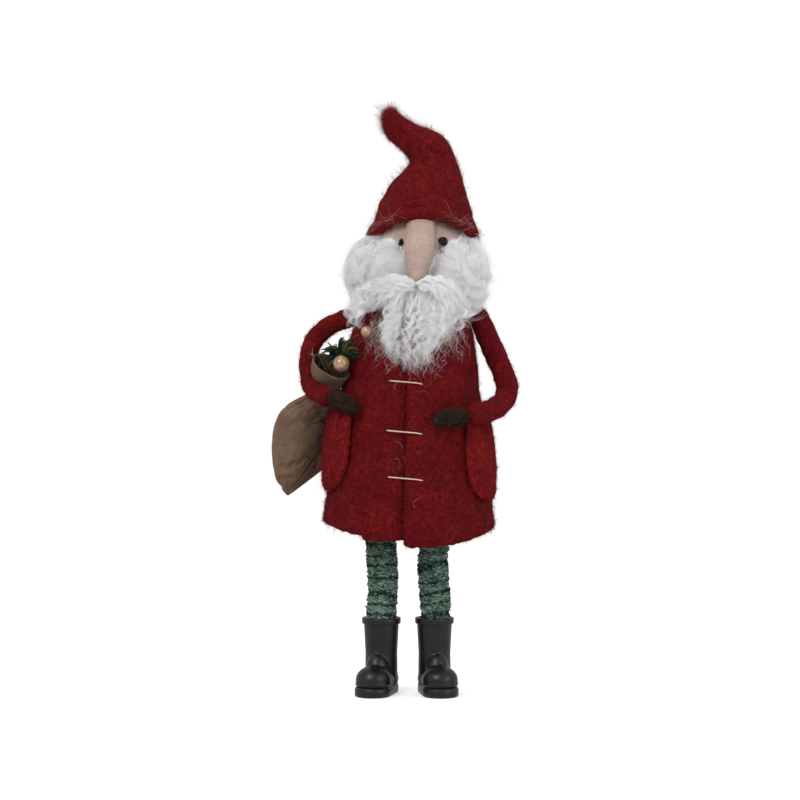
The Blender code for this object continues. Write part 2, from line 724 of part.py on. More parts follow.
def make_head(neck_bore):
    """The head with its nose, eyes, hat, hair and beard, each cut clear of the ones under it."""
    head = ball("head", HEAD_MIDDLE, HEAD_RADII, "skin_felt", segments=20, rings=12)
    cut(head, neck_bore)
    room = GAP / MM
    head_room = as_cutter(
        ball("head_room", HEAD_MIDDLE, grown(HEAD_RADII, room), None, segments=20, rings=12)
    )
    nose = loft("nose", NOSE_SECTIONS, "skin_felt", sides=14)
    nose_room = as_cutter(loft("nose_room", NOSE_SECTIONS, None, sides=14, grow=room))
    for side, middle in EYES.items():
        eye = ball(f"eye_{side}", middle, (EYE_RADIUS,) * 3, "eye_bead", segments=12, rings=8)
        cut(eye, head_room, nose_room)
    thicken(tilt_brim(loft("hat", HAT_SECTIONS, "red_felt", HAT_SIDES, open_start=True)), HAT_WALL)
    hat_room = as_cutter(tilt_brim(loft("hat_room", HAT_SECTIONS, None, HAT_SIDES, grow=room)))
    cut(nose, head_room, hat_room)
    make_hair(room, head_room, nose_room, hat_room)


def grown(radii, room):
    return tuple(radius + room for radius in radii)


def make_hair(room, head_room, nose_room, hat_room):
    coat_room = as_cutter(coat_solid("coat_room", room + 0.1, 100.0))
    hair_rooms = []
    for side, (middle, radii) in SIDE_HAIR.items():
        hair = ball(f"side_hair_{side}", middle, radii, "white_wool")
        cut(hair, head_room, nose_room, hat_room, coat_room)
        hair_room = ball(f"side_hair_room_{side}", middle, grown(radii, room), None)
        hair_rooms.append(as_cutter(hair_room))
    middle, radii = BACK_HAIR
    back = ball("back_hair", middle, radii, "white_wool")
    cut(back, head_room, hat_room, coat_room, *hair_rooms)
    beard = loft("beard", BEARD_SECTIONS, "white_wool", sides=18)
    cut(beard, head_room, nose_room, coat_room, *hair_rooms)
    for side in MOUSTACHES:
        cut(beard, as_cutter(moustache(f"moustache_room_{side}", side, None, 1.5 * room)))
        swept = moustache(f"moustache_{side}", side, "white_wool", 0.0)
        cut(swept, head_room, nose_room, *hair_rooms)


def moustache(name, side, slot, room):
    """One side of the moustache, thick under the nose and thin at its tip, with room all about it."""
    route = smooth_route(MOUSTACHES[side], 3)
    route[0] += (route[0] - route[1]).normalized() * room
    route[-1] += (route[-1] - route[-2]).normalized() * room
    curve = tube(
        name,
        route,
        MOUSTACHE_RADIUS + room,
        None,
        taper=lambda t: 0.62 + 0.38 * math.sin(math.pi * min(1.0, 0.3 + 0.8 * t)),
    )
    solid = to_mesh(curve)
    if slot:
        solid.data.materials.append(make_material(slot))
    return solid


clear_scene()
FIGURE = new_collection("tomte_figure")
CUTTERS = new_collection("cutters")
for each_side in ("right", "left"):
    make_boot(each_side)
    make_leg(each_side)
    make_arm(each_side)
    make_pocket(each_side)
body_core = make_core()
outer_coat = make_coat()
make_inner_wire(body_core, outer_coat)
make_head(make_neck(body_core))
make_sack()
make_greenery()
make_toggles()
hang_arms()
move_to_origin()
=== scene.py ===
"""The looks of a felt tomte figure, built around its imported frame: felt, curly wool, knit, cloth and boots.

Local sizes are millimetres from the floor point midway between the boots; mm() brings them to the frame.
"""

import math

import bmesh
import bpy
import numpy as np
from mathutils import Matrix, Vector, noise


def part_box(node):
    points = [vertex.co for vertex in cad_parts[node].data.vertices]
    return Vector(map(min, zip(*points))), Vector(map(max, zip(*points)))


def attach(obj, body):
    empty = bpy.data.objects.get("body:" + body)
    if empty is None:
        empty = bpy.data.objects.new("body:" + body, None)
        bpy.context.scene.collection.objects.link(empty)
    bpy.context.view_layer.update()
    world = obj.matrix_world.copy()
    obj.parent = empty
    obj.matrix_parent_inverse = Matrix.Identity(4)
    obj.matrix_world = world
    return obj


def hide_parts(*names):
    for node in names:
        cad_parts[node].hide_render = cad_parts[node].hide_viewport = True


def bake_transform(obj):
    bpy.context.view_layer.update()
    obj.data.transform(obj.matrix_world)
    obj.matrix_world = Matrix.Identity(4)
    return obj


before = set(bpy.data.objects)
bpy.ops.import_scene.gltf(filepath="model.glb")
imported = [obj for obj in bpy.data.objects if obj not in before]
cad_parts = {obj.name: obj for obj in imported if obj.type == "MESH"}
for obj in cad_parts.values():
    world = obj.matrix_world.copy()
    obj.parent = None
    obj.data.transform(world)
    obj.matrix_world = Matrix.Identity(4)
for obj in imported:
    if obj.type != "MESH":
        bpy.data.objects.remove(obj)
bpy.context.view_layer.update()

MM = 0.001
TAU = 2 * math.pi
SIGN = {"right": -1, "left": 1}  # each side's way along X
NOISE_SEED = 5  # without a seed, noise_vector starts from the clock
noise.seed_set(NOISE_SEED)


def box_middle(node):
    low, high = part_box(node)
    return (np.array(low) + np.array(high)) / 2


ORIGIN = (box_middle("leg_right") + box_middle("leg_left")) / 2
ORIGIN[0] += 0.05 * MM
ORIGIN[2] = 0.0


def local_box(node):
    """Lowest and highest corner of a node, in local millimetres."""
    low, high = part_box(node)
    return (np.array(low) - ORIGIN) / MM, (np.array(high) - ORIGIN) / MM


def mm(points):
    return np.asarray(points, float) * MM + ORIGIN


# ---------------------------------------------------------------- materials


class Nodes:
    """Short forms for the nodes that the materials here use."""

    def __init__(self, name, roughness, sheen=0.0, coat=0.0):
        self.material = bpy.data.materials.new(name)
        self.material.use_nodes = True
        self.tree = self.material.node_tree
        self.shader = self.tree.nodes["Principled BSDF"]
        self.shader.inputs["Roughness"].default_value = roughness
        self.shader.inputs["Sheen Weight"].default_value = sheen
        self.shader.inputs["Coat Weight"].default_value = coat
        self.shader.inputs["Specular IOR Level"].default_value = 0.12
        self.place = self.tree.nodes.new("ShaderNodeTexCoord").outputs["Object"]

    def link(self, source, target):
        self.tree.links.new(source, target)

    def mapped(self, scale):
        node = self.tree.nodes.new("ShaderNodeMapping")
        node.inputs["Scale"].default_value = scale
        self.link(self.place, node.inputs["Vector"])
        return node.outputs["Vector"]

    def noise(self, per_mm, detail=4.0, roughness=0.6, stretch=(1, 1, 1)):
        node = self.tree.nodes.new("ShaderNodeTexNoise")
        node.inputs["Scale"].default_value = per_mm / MM
        node.inputs["Detail"].default_value = detail
        node.inputs["Roughness"].default_value = roughness
        self.link(self.mapped(stretch), node.inputs["Vector"])
        return node.outputs["Fac"]

    def wave(self, per_mm, direction, distortion=0.5):
        node = self.tree.nodes.new("ShaderNodeTexWave")
        node.bands_direction = direction
        node.inputs["Scale"].default_value = per_mm / MM
        node.inputs["Distortion"].default_value = distortion
        self.link(self.place, node.inputs["Vector"])
        return node.outputs["Fac"]

    def ramp(self, value, stops):
        node = self.tree.nodes.new("ShaderNodeValToRGB")
        elements = node.color_ramp.elements
        while len(elements) < len(stops):
            elements.new(0.5)
        for element, (place, colour) in zip(elements, stops):
            element.position = place
            element.color = (*colour, 1.0)
        self.link(value, node.inputs["Fac"])
        return node.outputs["Color"]

    def mix(self, amount, first, second, blend="MIX"):
        node = self.tree.nodes.new("ShaderNodeMix")
        node.data_type = "RGBA"
        node.blend_type = blend
        if isinstance(amount, float):
            node.inputs["Factor"].default_value = amount
        else:
            self.link(amount, node.inputs["Factor"])
        for source, socket in ((first, node.inputs["A"]), (second, node.inputs["B"])):
            socket = [s for s in node.inputs if s.name == socket.name and s.type == "RGBA"][0]
            if isinstance(source, tuple):
                socket.default_value = (*source, 1.0)
            else:
                self.link(source, socket)
        return [s for s in node.outputs if s.type == "RGBA"][0]

    def grey(self, source):
        node = self.tree.nodes.new("ShaderNodeRGBToBW")
        self.link(source, node.inputs["Color"])
        return node.outputs["Val"]

    def colour(self, source):
        self.link(source, self.shader.inputs["Base Color"])

    def bump(self, height, strength, depth):
        node = self.tree.nodes.new("ShaderNodeBump")
        node.inputs["Strength"].default_value = strength
        node.inputs["Distance"].default_value = depth * MM
        self.link(height, node.inputs["Height"])
        self.link(node.outputs["Normal"], self.shader.inputs["Normal"])

    def roughness(self, value, low, high):
        node = self.tree.nodes.new("ShaderNodeMapRange")
        node.inputs["To Min"].default_value = low
        node.inputs["To Max"].default_value = high
        self.link(value, node.inputs["Value"])
        self.link(node.outputs["Result"], self.shader.inputs["Roughness"])


def felt_material(name, main, dark, warm, fleck=0.9, clump=(0.5, 1.3)):
    """Matted wool: broad patches of a warmer tone, clumps, and fine dark flecks where the fibres part."""
    nodes = Nodes(name, 0.95, sheen=0.06)
    patches = nodes.ramp(nodes.noise(0.09, 4.0, 0.7), ((0.42, main), (0.62, warm)))
    clumps = nodes.ramp(nodes.noise(0.55, 5.0, 0.8), ((0.4, (clump[0],) * 3), (0.58, (clump[1],) * 3)))
    flecks = nodes.ramp(nodes.noise(fleck, 5.0, 0.8), ((0.44, (0.85, 0.85, 0.85)), (0.56, (0, 0, 0))))
    tone = nodes.mix(1.0, patches, clumps, "MULTIPLY")
    nodes.colour(nodes.mix(nodes.grey(flecks), tone, dark))
    nodes.bump(nodes.noise(0.75, 6.0, 0.85), 1.0, 1.1)
    nodes.shader.inputs["Sheen Tint"].default_value = (*warm, 1.0)
    return nodes.material


def plain_fibre(name, colour, glow=0.0):
    """One of the shades of a wool fibre. A glow stands in for light scattered from strand to strand."""
    nodes = Nodes(name, 0.9)
    nodes.shader.inputs["Base Color"].default_value = (*colour, 1.0)
    nodes.shader.inputs["Emission Color"].default_value = (*colour, 1.0)
    nodes.shader.inputs["Emission Strength"].default_value = glow
    return nodes.material


RED = (0.188, 0.0056, 0.0095)
RED_DARK = (0.105, 0.0035, 0.007)
RED_WARM = (0.25, 0.011, 0.009)


def shades(name, colours, **settings):
    return [plain_fibre(f"{name}_{i}", colour, **settings) for i, colour in enumerate(colours)]


def cad_material(name, material):
    """Gives one of the frame's own nodes a material."""
    slots = bpy.data.objects[name].data.materials
    slots.clear()
    slots.append(material)


# ---------------------------------------------------------------- shapes


def place_object(name, data, body=None):
    """An object in the scene, riding on a body unless that is None."""
    obj = bpy.data.objects.new(name, data)
    bpy.context.scene.collection.objects.link(obj)
    if body:
        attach(obj, body)
    return obj


def add_piece(name, verts, faces, materials, body, shade=None):
    """A smooth mesh piece from local millimetres; shade picks a material for each face."""
    mesh = bpy.data.meshes.new(name)
    mesh.from_pydata(mm(verts).tolist(), [], faces if isinstance(faces, list) else faces.tolist())
    for material in materials if isinstance(materials, list) else [materials]:
        mesh.materials.append(material)
    if shade is not None:
        mesh.polygons.foreach_set("material_index", np.asarray(shade, np.int32))
    mesh.polygons.foreach_set("use_smooth", np.ones(len(mesh.polygons), bool))
    mesh.update()
    return place_object(name, mesh, body)


def rough(points, size, seed=0.0, octaves=3):
    """Smooth noise from -1 to 1 at each local point, with features about size millimetres wide."""
    shift = Vector((seed * 7.3, seed * 3.1, seed * 5.7))
    values = [noise.fractal(Vector(p) / size + shift, 1.0, 2.0, octaves) for p in points]
    return np.array(values)


def roughened(grid, ways, layers, share=1.0):
    """A grid moved along its ways by layers of noise, each (size, seed, octaves, height)."""
    flat = grid.reshape(-1, 3)
    bumps = sum(rough(flat, size, seed, octaves) * height for size, seed, octaves, height in layers)
    return grid + ways * (bumps * share).reshape(grid.shape[:2])[..., None]


def smooth_route(points, steps):
    """Points of a smooth curve through the given ones."""
    points = np.asarray(points, float)
    ends = np.vstack([2 * points[0] - points[1], points, 2 * points[-1] - points[-2]])
    route = []
    for a, b, c, d in zip(ends, ends[1:], ends[2:], ends[3:]):
        t = np.arange(steps)[:, None] / steps
        cubic = (3 * b - a - 3 * c + d) * t**3 + (2 * a - 5 * b + 4 * c - d) * t**2
        route.append((cubic + (c - a) * t + 2 * b) / 2)
    route.append(points[-1:])
    return np.vstack(route)


def read_at(table, place):
    """The rows of a table at places between its own rows."""
    return np.stack([np.interp(place, np.arange(len(table)), column) for column in table.T], axis=-1)


def unit(vectors):
    return vectors / np.maximum(np.linalg.norm(vectors, axis=-1, keepdims=True), 1e-9)


def grid_normals(grid):
    """Normals of an open (rows, columns, 3) grid."""
    return unit(np.cross(np.gradient(grid, axis=1), np.gradient(grid, axis=0)))


def grid_faces(rows, columns, closed=False, start=0):
    i, j = np.meshgrid(np.arange(rows - 1), np.arange(columns if closed else columns - 1), indexing="ij")
    k = (j + 1) % columns
    quads = [i * columns + j, i * columns + k, (i + 1) * columns + k, (i + 1) * columns + j]
    return np.stack(quads, axis=-1).reshape(-1, 4) + start


def round_turns(sides):
    """The turns of a ring's points, as one row."""
    return TAU * np.arange(sides)[None, :] / sides


def ball_normals(rows, sides, gap):
    """Normals of a ball as rings from its foot to its top, with a small gap at each pole."""
    polar = np.linspace(gap, math.pi - gap, rows)[:, None]
    around = round_turns(sides)
    across = (np.sin(polar) * np.cos(around), np.sin(polar) * np.sin(around))
    return np.stack([*across, -np.cos(polar) + 0 * around], axis=-1)


def tube_grid(route, radii, sides):
    """Rings round a route; radii is a number, one for each point, or (points, sides)."""
    route = np.asarray(route, float)
    ahead = unit(np.gradient(route, axis=0))
    side = np.cross(ahead[0], (0.0, 0.0, 1.0))
    if np.linalg.norm(side) < 0.2:
        side = np.cross(ahead[0], (0.0, 1.0, 0.0))
    rings = []
    radii = np.asarray(radii, float)
    radii = np.broadcast_to(radii[:, None] if radii.ndim == 1 else radii, (len(route), sides))
    angle = TAU * np.arange(sides) / sides
    for i, direction in enumerate(ahead):
        side = unit(side - direction * np.dot(side, direction))
        other = np.cross(direction, side)
        ring = np.cos(angle)[:, None] * side + np.sin(angle)[:, None] * other
        rings.append(route[i] + ring * radii[i][:, None])
    return np.array(rings)


def tube_faces(rows, sides, start=0):
    """The faces of a tube's rings, with a cap at each end."""
    faces = grid_faces(rows, sides, closed=True, start=start).tolist()
    faces.append([start + k for k in range(sides)][::-1])
    faces.append([start + (rows - 1) * sides + k for k in range(sides)])
    return faces


def closed_tube(name, rings, materials, body):
    return add_piece(name, rings.reshape(-1, 3), tube_faces(*rings.shape[:2]), materials, body)


def round_ends(count, start=0.12, end=0.12):
    """A share of the full radius along a tube, rounded at its ends."""
    t = np.linspace(0, 1, count)
    share = np.ones(count)
    for place, reach in ((t, start), (1 - t, end)):
        share = np.minimum(share, np.sqrt(np.clip(1 - (1 - place / reach).clip(0) ** 2, 0, 1)))
    return np.maximum(share, 0.04)


def felt_sheet(grid, thickness, outward):
    """A soft-edged sheet of felt round a mid surface: its two faces meet in a round edge all about."""
    rows, columns = grid.shape[:2]
    normals = grid_normals(grid)
    if np.mean(np.sum(normals * outward, axis=-1)) < 0:
        normals = -normals
    step_u = np.linalg.norm(np.diff(grid, axis=1), axis=-1)
    step_v = np.linalg.norm(np.diff(grid, axis=0), axis=-1)
    along = np.hstack([np.zeros((rows, 1)), np.cumsum(step_u, axis=1)])
    down = np.vstack([np.zeros((1, columns)), np.cumsum(step_v, axis=0)])
    edge = np.minimum.reduce([along, along[:, -1:] - along, down, down[-1:] - down])
    half = thickness / 2
    share = np.sqrt(np.clip(1 - (1 - edge / half).clip(0) ** 2, 0, 1))
    outer = grid + normals * (half * share)[..., None]
    inner = grid - normals * (half * share)[..., None]
    verts = np.vstack([outer.reshape(-1, 3), inner.reshape(-1, 3)])
    index = np.arange(rows * columns).reshape(rows, columns)
    border = np.zeros((rows, columns), bool)
    border[0] = border[-1] = True
    border[:, 0] = border[:, -1] = True
    inner_index = np.where(border, index, index + rows * columns).reshape(-1)
    above = grid_faces(rows, columns)
    faces = np.vstack([above, inner_index[above][:, ::-1]])
    verts, faces = drop_loose(verts, faces)
    return verts, faces, outer, normals


def drop_loose(verts, faces):
    """The points that faces use, and the faces renumbered to them."""
    used = np.unique(faces)
    renumber = np.zeros(len(verts), int)
    renumber[used] = np.arange(len(used))
    return verts[used], renumber[faces]


# ---------------------------------------------------------------- fibres


def fibre_mesh(name, paths, radius, materials, body, rng, sides=3, taper=0.35):
    """Many thin tubes in one piece. paths is (fibres, points, 3); each fibre has one shade."""
    count, length = paths.shape[:2]
    ahead = unit(np.gradient(paths, axis=1))
    aside = unit(np.cross(ahead, np.array([0.31, 0.83, 0.46])))
    other = np.cross(ahead, aside)
    t = np.linspace(0, 1, length)
    thick = 1 - (1 - taper) * t**2
    radius = np.broadcast_to(np.asarray(radius, float), (count,))
    thick = radius[:, None] * thick[None, :]
    verts = []
    for k in range(sides):
        angle = TAU * k / sides
        spoke = math.cos(angle) * aside + math.sin(angle) * other
        verts.append(paths + spoke * thick[..., None])
    verts = np.stack(verts, axis=2).reshape(-1, 3)
    base = (np.arange(count) * length * sides)[:, None, None]
    i = (np.arange(length - 1) * sides)[None, :, None]
    k = np.arange(sides)[None, None, :]
    n = (k + 1) % sides
    quads = np.stack([base + i + k, base + i + n, base + i + sides + n, base + i + sides + k], axis=-1)
    caps_start = (base[:, 0, 0][:, None] + np.arange(sides)[::-1][None, :])
    caps_end = (base[:, 0, 0][:, None] + (length - 1) * sides + np.arange(sides)[None, :])
    quads = quads.reshape(count, -1, 4)
    shade = rng.integers(0, len(materials), count)
    mesh = bpy.data.meshes.new(name)
    mesh.vertices.add(len(verts))
    mesh.vertices.foreach_set("co", mm(verts).astype(np.float32).ravel())
    faces_each = quads.shape[1]
    loops = np.concatenate([quads.reshape(-1), caps_start.reshape(-1), caps_end.reshape(-1)])
    mesh.loops.add(len(loops))
    mesh.loops.foreach_set("vertex_index", loops.astype(np.int32))
    sizes = np.concatenate([np.full(count * faces_each, 4), np.full(2 * count, sides)])
    mesh.polygons.add(len(sizes))
    mesh.polygons.foreach_set("loop_start", np.concatenate([[0], np.cumsum(sizes)[:-1]]).astype(np.int32))
    mesh.polygons.foreach_set("loop_total", sizes.astype(np.int32))
    for material in materials:
        mesh.materials.append(material)
    index = np.concatenate([np.repeat(shade, faces_each), shade, shade])
    mesh.polygons.foreach_set("material_index", index.astype(np.int32))
    mesh.polygons.foreach_set("use_smooth", np.ones(len(sizes), bool))
    mesh.update(calc_edges=True)
    mesh.validate()
    return place_object(name, mesh, body)


def curl(rng, count, points, length, curliness):
    """Wandering offsets for loose fibres, from 0 at their roots; length is one number or one for each."""
    turns = rng.normal(0, curliness, (count, points, 3))
    walk = np.cumsum(np.cumsum(turns, axis=1), axis=1)
    walk -= walk[:, :1]
    return walk * length / points


def fuzz(name, spots, normals, count, materials, body, seed, length=(0.9, 2.8), radius=0.04,
         lift=0.8, curliness=0.13, points=5):
    """Short matted fibres that stand out of a felt surface a little."""
    rng = np.random.default_rng(seed)
    spots, normals = spots.reshape(-1, 3), normals.reshape(-1, 3)
    picked = rng.integers(0, len(spots), count)
    other = np.clip(picked + rng.integers(-1, 2, count), 0, len(spots) - 1)
    share = rng.random((count, 1))
    near = np.linalg.norm(spots[other] - spots[picked], axis=1) < 2.0
    root = np.where(near[:, None], spots[picked] * share + spots[other] * (1 - share), spots[picked])
    normal = normals[picked]
    tangent = unit(np.cross(normal, unit(rng.normal(size=(count, 3)))))
    reach = rng.uniform(*length, (count, 1))
    direction = unit(tangent + normal * lift * rng.random((count, 1)) ** 2)
    t = np.linspace(0, 1, points)[None, :, None]
    paths = root[:, None] - normal[:, None] * 0.12 + direction[:, None] * (reach[:, None] * t)
    paths = paths + curl(rng, count, points, reach[:, None], curliness)
    return fibre_mesh(name, paths, rng.uniform(0.7, 1.2, count) * radius, materials, body, rng)


LONG_FUZZ = {"length": (2.4, 6.0), "radius": 0.045, "curliness": 0.06, "points": 10}


# ---------------------------------------------------------------- coat

# Height, half width and middle across X, as the frame's coat has them.
COAT_ROWS = (
    (61.0, 31.0, 0.1),
    (72.0, 29.6, 0.3),
    (90.0, 27.5, 0.6),
    (108.0, 25.0, 0.9),
    (125.0, 22.7, 1.3),
    (131.0, 21.0, 1.5),
    (135.2, 18.2, 1.7),
    (137.9, 13.4, 1.9),
    (139.2, 4.4, 2.0),
)
COAT_ROUND = 0.84
COAT_WALL = 2.2
# The coat's rows, smoothed; then where its front slit lies, how far its panels underlap round the hem, and
# how far each front dips at the hem.
COAT_TABLE = smooth_route(COAT_ROWS, 8)
SLIT_TURN = math.radians(-3.4)
UNDERLAP = math.radians(13)
FRONT_DIP = {"left": 6.6, "right": 4.6}


def coat_size(height):
    half = np.interp(height, COAT_TABLE[:, 0], COAT_TABLE[:, 1])
    return half, np.interp(height, COAT_TABLE[:, 0], COAT_TABLE[:, 2])


def on_coat(turn, height, lift=0.0):
    """Points on the coat's outer face at a turn from the front, towards the figure's left."""
    turn, height, lift = np.broadcast_arrays(turn, height, lift)
    half, middle = coat_size(height)
    across, ahead = np.sin(turn), -np.cos(turn)
    spot = (middle + (half + lift) * across, (half * COAT_ROUND + lift) * ahead, height)
    return np.stack(spot, axis=-1)


def coat_outward(turn):
    return np.stack([np.sin(turn), -np.cos(turn) / COAT_ROUND, 0.25 + 0 * turn], axis=-1)


def hem_height(turn):
    """The hem hangs lower in front; the panel on the figure's left is the longer one."""
    front = np.maximum(0.0, np.cos(turn)) ** 1.6
    longer = 1 / (1 + np.exp(-(turn - SLIT_TURN) / 0.02))
    dip = FRONT_DIP["right"] + (FRONT_DIP["left"] - FRONT_DIP["right"]) * longer
    return 60.6 - 1.2 * np.sin(turn) - dip * front


def make_coat(materials, fibres):
    columns, rows = 300, 150
    wrap = np.linspace(0, 1, columns)
    edge = 0.5 - 0.5 * np.cos(math.pi * wrap)
    wrap = 0.92 * wrap + 0.08 * edge
    turn = SLIT_TURN + wrap * (TAU + UNDERLAP)
    rise = np.linspace(0, 1, rows)
    rise = 0.93 * rise + 0.07 * rise**2
    turn, rise = np.meshgrid(turn, rise)
    past_front = np.where(turn > math.pi, turn - TAU, turn)
    hem = hem_height(past_front)
    over = turn > SLIT_TURN + TAU - 0.5
    hem = np.where(over, hem_height(SLIT_TURN - 0.12), hem)
    height = hem + (COAT_ROWS[-1][0] - hem) * rise
    tucked = np.clip((turn - (SLIT_TURN + TAU - 0.16)) / 0.16, 0, 1)
    lifted = np.clip(1 - (turn - SLIT_TURN) / 0.5, 0, 1) * 0.35
    lift = lifted - COAT_WALL / 2 - tucked * (COAT_WALL + 0.1)
    grid = on_coat(turn, height, lift)
    flat = grid.reshape(-1, 3)
    outward = unit(coat_outward(turn))
    waves = rough(flat, 16.0, 1.0, 2).reshape(turn.shape) * 0.75
    lumps = rough(flat, 4.0, 2.0, 3).reshape(turn.shape) * 0.26
    fine = rough(flat, 1.5, 3.0, 2).reshape(turn.shape) * 0.2
    calm = np.clip(rise * 8, 0.35, 1) * np.clip((1 - rise) * 12, 0.2, 1)
    grid = grid + outward * (waves * calm + lumps + fine)[..., None]
    grid[0, :, 2] += rough(grid[0] * (1, 1, 0), 3.0, 4.0, 2) * 0.4
    verts, faces, outer, normals = felt_sheet(grid, COAT_WALL, outward)
    coat = add_piece("felt_coat", verts, faces, materials, "figure")
    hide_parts("coat")
    for part in (1, 2, 3):
        fuzz(f"coat_fuzz_{part}", outer, normals, 8300, fibres, "figure", 14 + part)
    fuzz("coat_long_fuzz", outer, normals, 3000, fibres[-2:], "figure", 18, lift=0.25, **LONG_FUZZ)
    rim = slice(0, 6)
    fuzz("hem_fuzz", outer[rim], normals[rim], 2600, fibres, "figure", 13, lift=1.6, length=(0.6, 1.8))


POCKET_RISE = 4.0
POCKET_TURN = {"right": math.radians(68), "left": math.radians(63)}


def make_pocket(side, materials, fibres):
    low, high = local_box(f"pocket_{side}")
    sign = SIGN[side]
    columns, rows = 60, 80
    across, down = np.meshgrid(np.linspace(-1, 1, columns), np.linspace(0, 1, rows))
    foot_start, half_turn = 0.66, math.radians(20.5)
    round_foot = np.sqrt(np.clip(1 - ((down - foot_start) / (1 - foot_start)).clip(0) ** 2.4, 0.0, 1))
    narrow = (0.84 + 0.16 * np.sin(math.pi * np.clip(down, 0, 0.8))) * round_foot
    narrow = np.maximum(narrow, 0.03)
    turn = sign * POCKET_TURN[side] + across * half_turn * narrow
    height = high[2] + POCKET_RISE + (low[2] - high[2] - POCKET_RISE) * down
    puff = 2.1 * (1 - np.abs(across) ** 2.2) * np.sin(math.pi * np.clip(0.18 + down * 0.8, 0, 1))
    grid = on_coat(turn, height, 1.1 + puff)
    outward = unit(coat_outward(turn))
    grid = roughened(grid, outward, ((4.5, 5.0 + sign, 3, 0.45), (1.2, 6.0, 2, 0.12)))
    verts, faces, outer, normals = felt_sheet(grid, 2.4, outward)
    pocket = add_piece(f"felt_pocket_{side}", verts, faces, materials, "figure")
    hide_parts(f"pocket_{side}")
    fuzz(f"pocket_fuzz_{side}", outer, normals, 1500, fibres, "figure", 20 + sign)


# ---------------------------------------------------------------- arms

SHOULDERS = {"right": (-22.6, -1.0, 134.4), "left": (25.9, -1.0, 133.8)}
ELBOWS = {"right": (-35.4, -3.4, 113.2), "left": (35.6, -3.2, 109.8)}
ARM_ROUTES = {
    "right": (
        (-19.0, -0.8, 134.8),
        SHOULDERS["right"],
        (-28.2, -1.4, 132.0),
        (-32.9, -2.0, 127.9),
        (-35.6, -2.6, 121.6),
        ELBOWS["right"],
        (-33.8, -6.4, 109.6),
        (-30.8, -10.4, 107.2),
        (-27.0, -13.9, 105.7),
    ),
    "left": (
        (23.4, -1.0, 137.0),
        SHOULDERS["left"],
        (30.4, -1.4, 123.6),
        (33.9, -2.2, 115.6),
        ELBOWS["left"],
        (33.8, -7.6, 104.6),
        (28.6, -13.8, 101.6),
        (20.6, -19.6, 99.7),
    ),
}
SLEEVE_RADIUS = {"right": 3.35, "left": 3.85}
MITTENS = {
    # middle, radii and turn in the XY plane
    "right": ((-23.0, -16.8, 104.2), (6.0, 3.3, 4.0), -0.46),
    "left": ((14.7, -23.5, 98.8), (6.8, 3.1, 3.7), 0.41),
}
MITTEN_TILT = {"right": 1.7, "left": 0.5}


def make_arm(side, materials, fibres, mitten_materials, mitten_fibres):
    route = smooth_route(ARM_ROUTES[side], 16)
    sides = 44
    radius = SLEEVE_RADIUS[side]
    sign = SIGN[side]
    angle = round_turns(sides)
    walk = np.concatenate([[0], np.cumsum(np.linalg.norm(np.diff(route, axis=0), axis=1))])[:, None]
    wraps = 0.035 * np.abs(np.sin(angle * sign + walk * 0.85)) ** 0.6
    share = round_ends(len(route), 0.07, 0.05)[:, None]
    radii = radius * share * (0.97 + wraps)
    rings = tube_grid(route, radii, sides)
    rings = roughened(rings, unit(rings - route[:, None]), ((3.5, 7.0 + sign, 3, 0.32), (1.1, 8.0, 2, 0.1)))
    normals = unit(rings - route[:, None])
    sleeve = closed_tube(f"felt_sleeve_{side}", rings, materials, None)
    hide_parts(f"sleeve_upper_{side}", f"sleeve_lower_{side}")
    hair = fuzz(f"sleeve_fuzz_{side}", rings[3:-2], normals[3:-2], 3000, fibres, None, 30 + sign, lift=0.6)
    for piece in (sleeve, hair):
        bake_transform(piece)
    make_mitten(side, mitten_materials, mitten_fibres)


def make_mitten(side, materials, fibres):
    middle, radii, turn = MITTENS[side]
    sign = SIGN[side]
    rows, sides = 40, 44
    t = np.linspace(0.0, 1.0, rows)
    swell = np.sqrt(np.clip(1 - np.abs(2 * t - 1) ** 2.6, 0.0004, 1))
    swell *= 1 - 0.16 * t
    along = np.array([math.cos(turn), math.sin(turn), 0.0]) * sign
    route = np.array(middle) + np.outer((1 - 2 * t) * radii[0], along)
    route[:, 2] += 0.4 * np.sin(math.pi * t) + MITTEN_TILT[side] * (1 - 2 * t)
    rings = tube_grid(route, swell, sides)
    offset = rings - route[:, None]
    side_way = np.array([-along[1], along[0], 0.0])
    level = offset @ side_way
    rings = route[:, None] + level[..., None] * side_way * radii[1]
    rings[..., 2] += offset[..., 2] * radii[2]
    rings = roughened(rings, unit(rings - route[:, None]), ((2.6, 9.0 + sign, 3, 0.4), (0.9, 4.0, 2, 0.12)))
    normals = unit(rings - route[:, None])
    body = f"arm_{side}_lower"
    mitten = closed_tube(f"felt_mitten_{side}", rings, materials, body)
    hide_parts(f"mitten_{side}")
    fuzz(f"mitten_fuzz_{side}", rings, normals, 1300, fibres, body, 40 + sign, length=(0.5, 1.5))


# ---------------------------------------------------------------- hat and head

HAT_SECTIONS = (
    # middle, angle of the width in the XZ plane, half width, half depth; the brim first
    ((5.2, 0.0, 163.4), 0.0, 19.6, 18.8),
    ((5.5, 0.4, 169.5), 0.0, 18.3, 17.7),
    ((6.0, 0.6, 176.5), 0.0, 15.9, 15.4),
    ((6.9, 0.8, 183.5), 0.0, 12.9, 12.8),
    ((8.4, 0.8, 189.7), 0.06, 9.3, 9.6),
    ((7.3, 0.5, 195.1), 0.52, 8.0, 7.8),
    ((2.2, 0.2, 199.5), 0.68, 6.0, 6.3),
    ((-3.6, 0.0, 203.3), 0.74, 4.8, 4.9),
    ((-6.1, 0.0, 206.0), 0.66, 3.7, 3.8),
    ((-6.9, 0.0, 208.2), 0.52, 2.2, 2.4),
    ((-7.1, 0.0, 209.2), 0.5, 0.3, 0.3),
)
BRIM_PITCH = 0.26
BRIM_ARCH = 3.4
BRIM_DROP = 1.1
HAT_WALL = 2.0


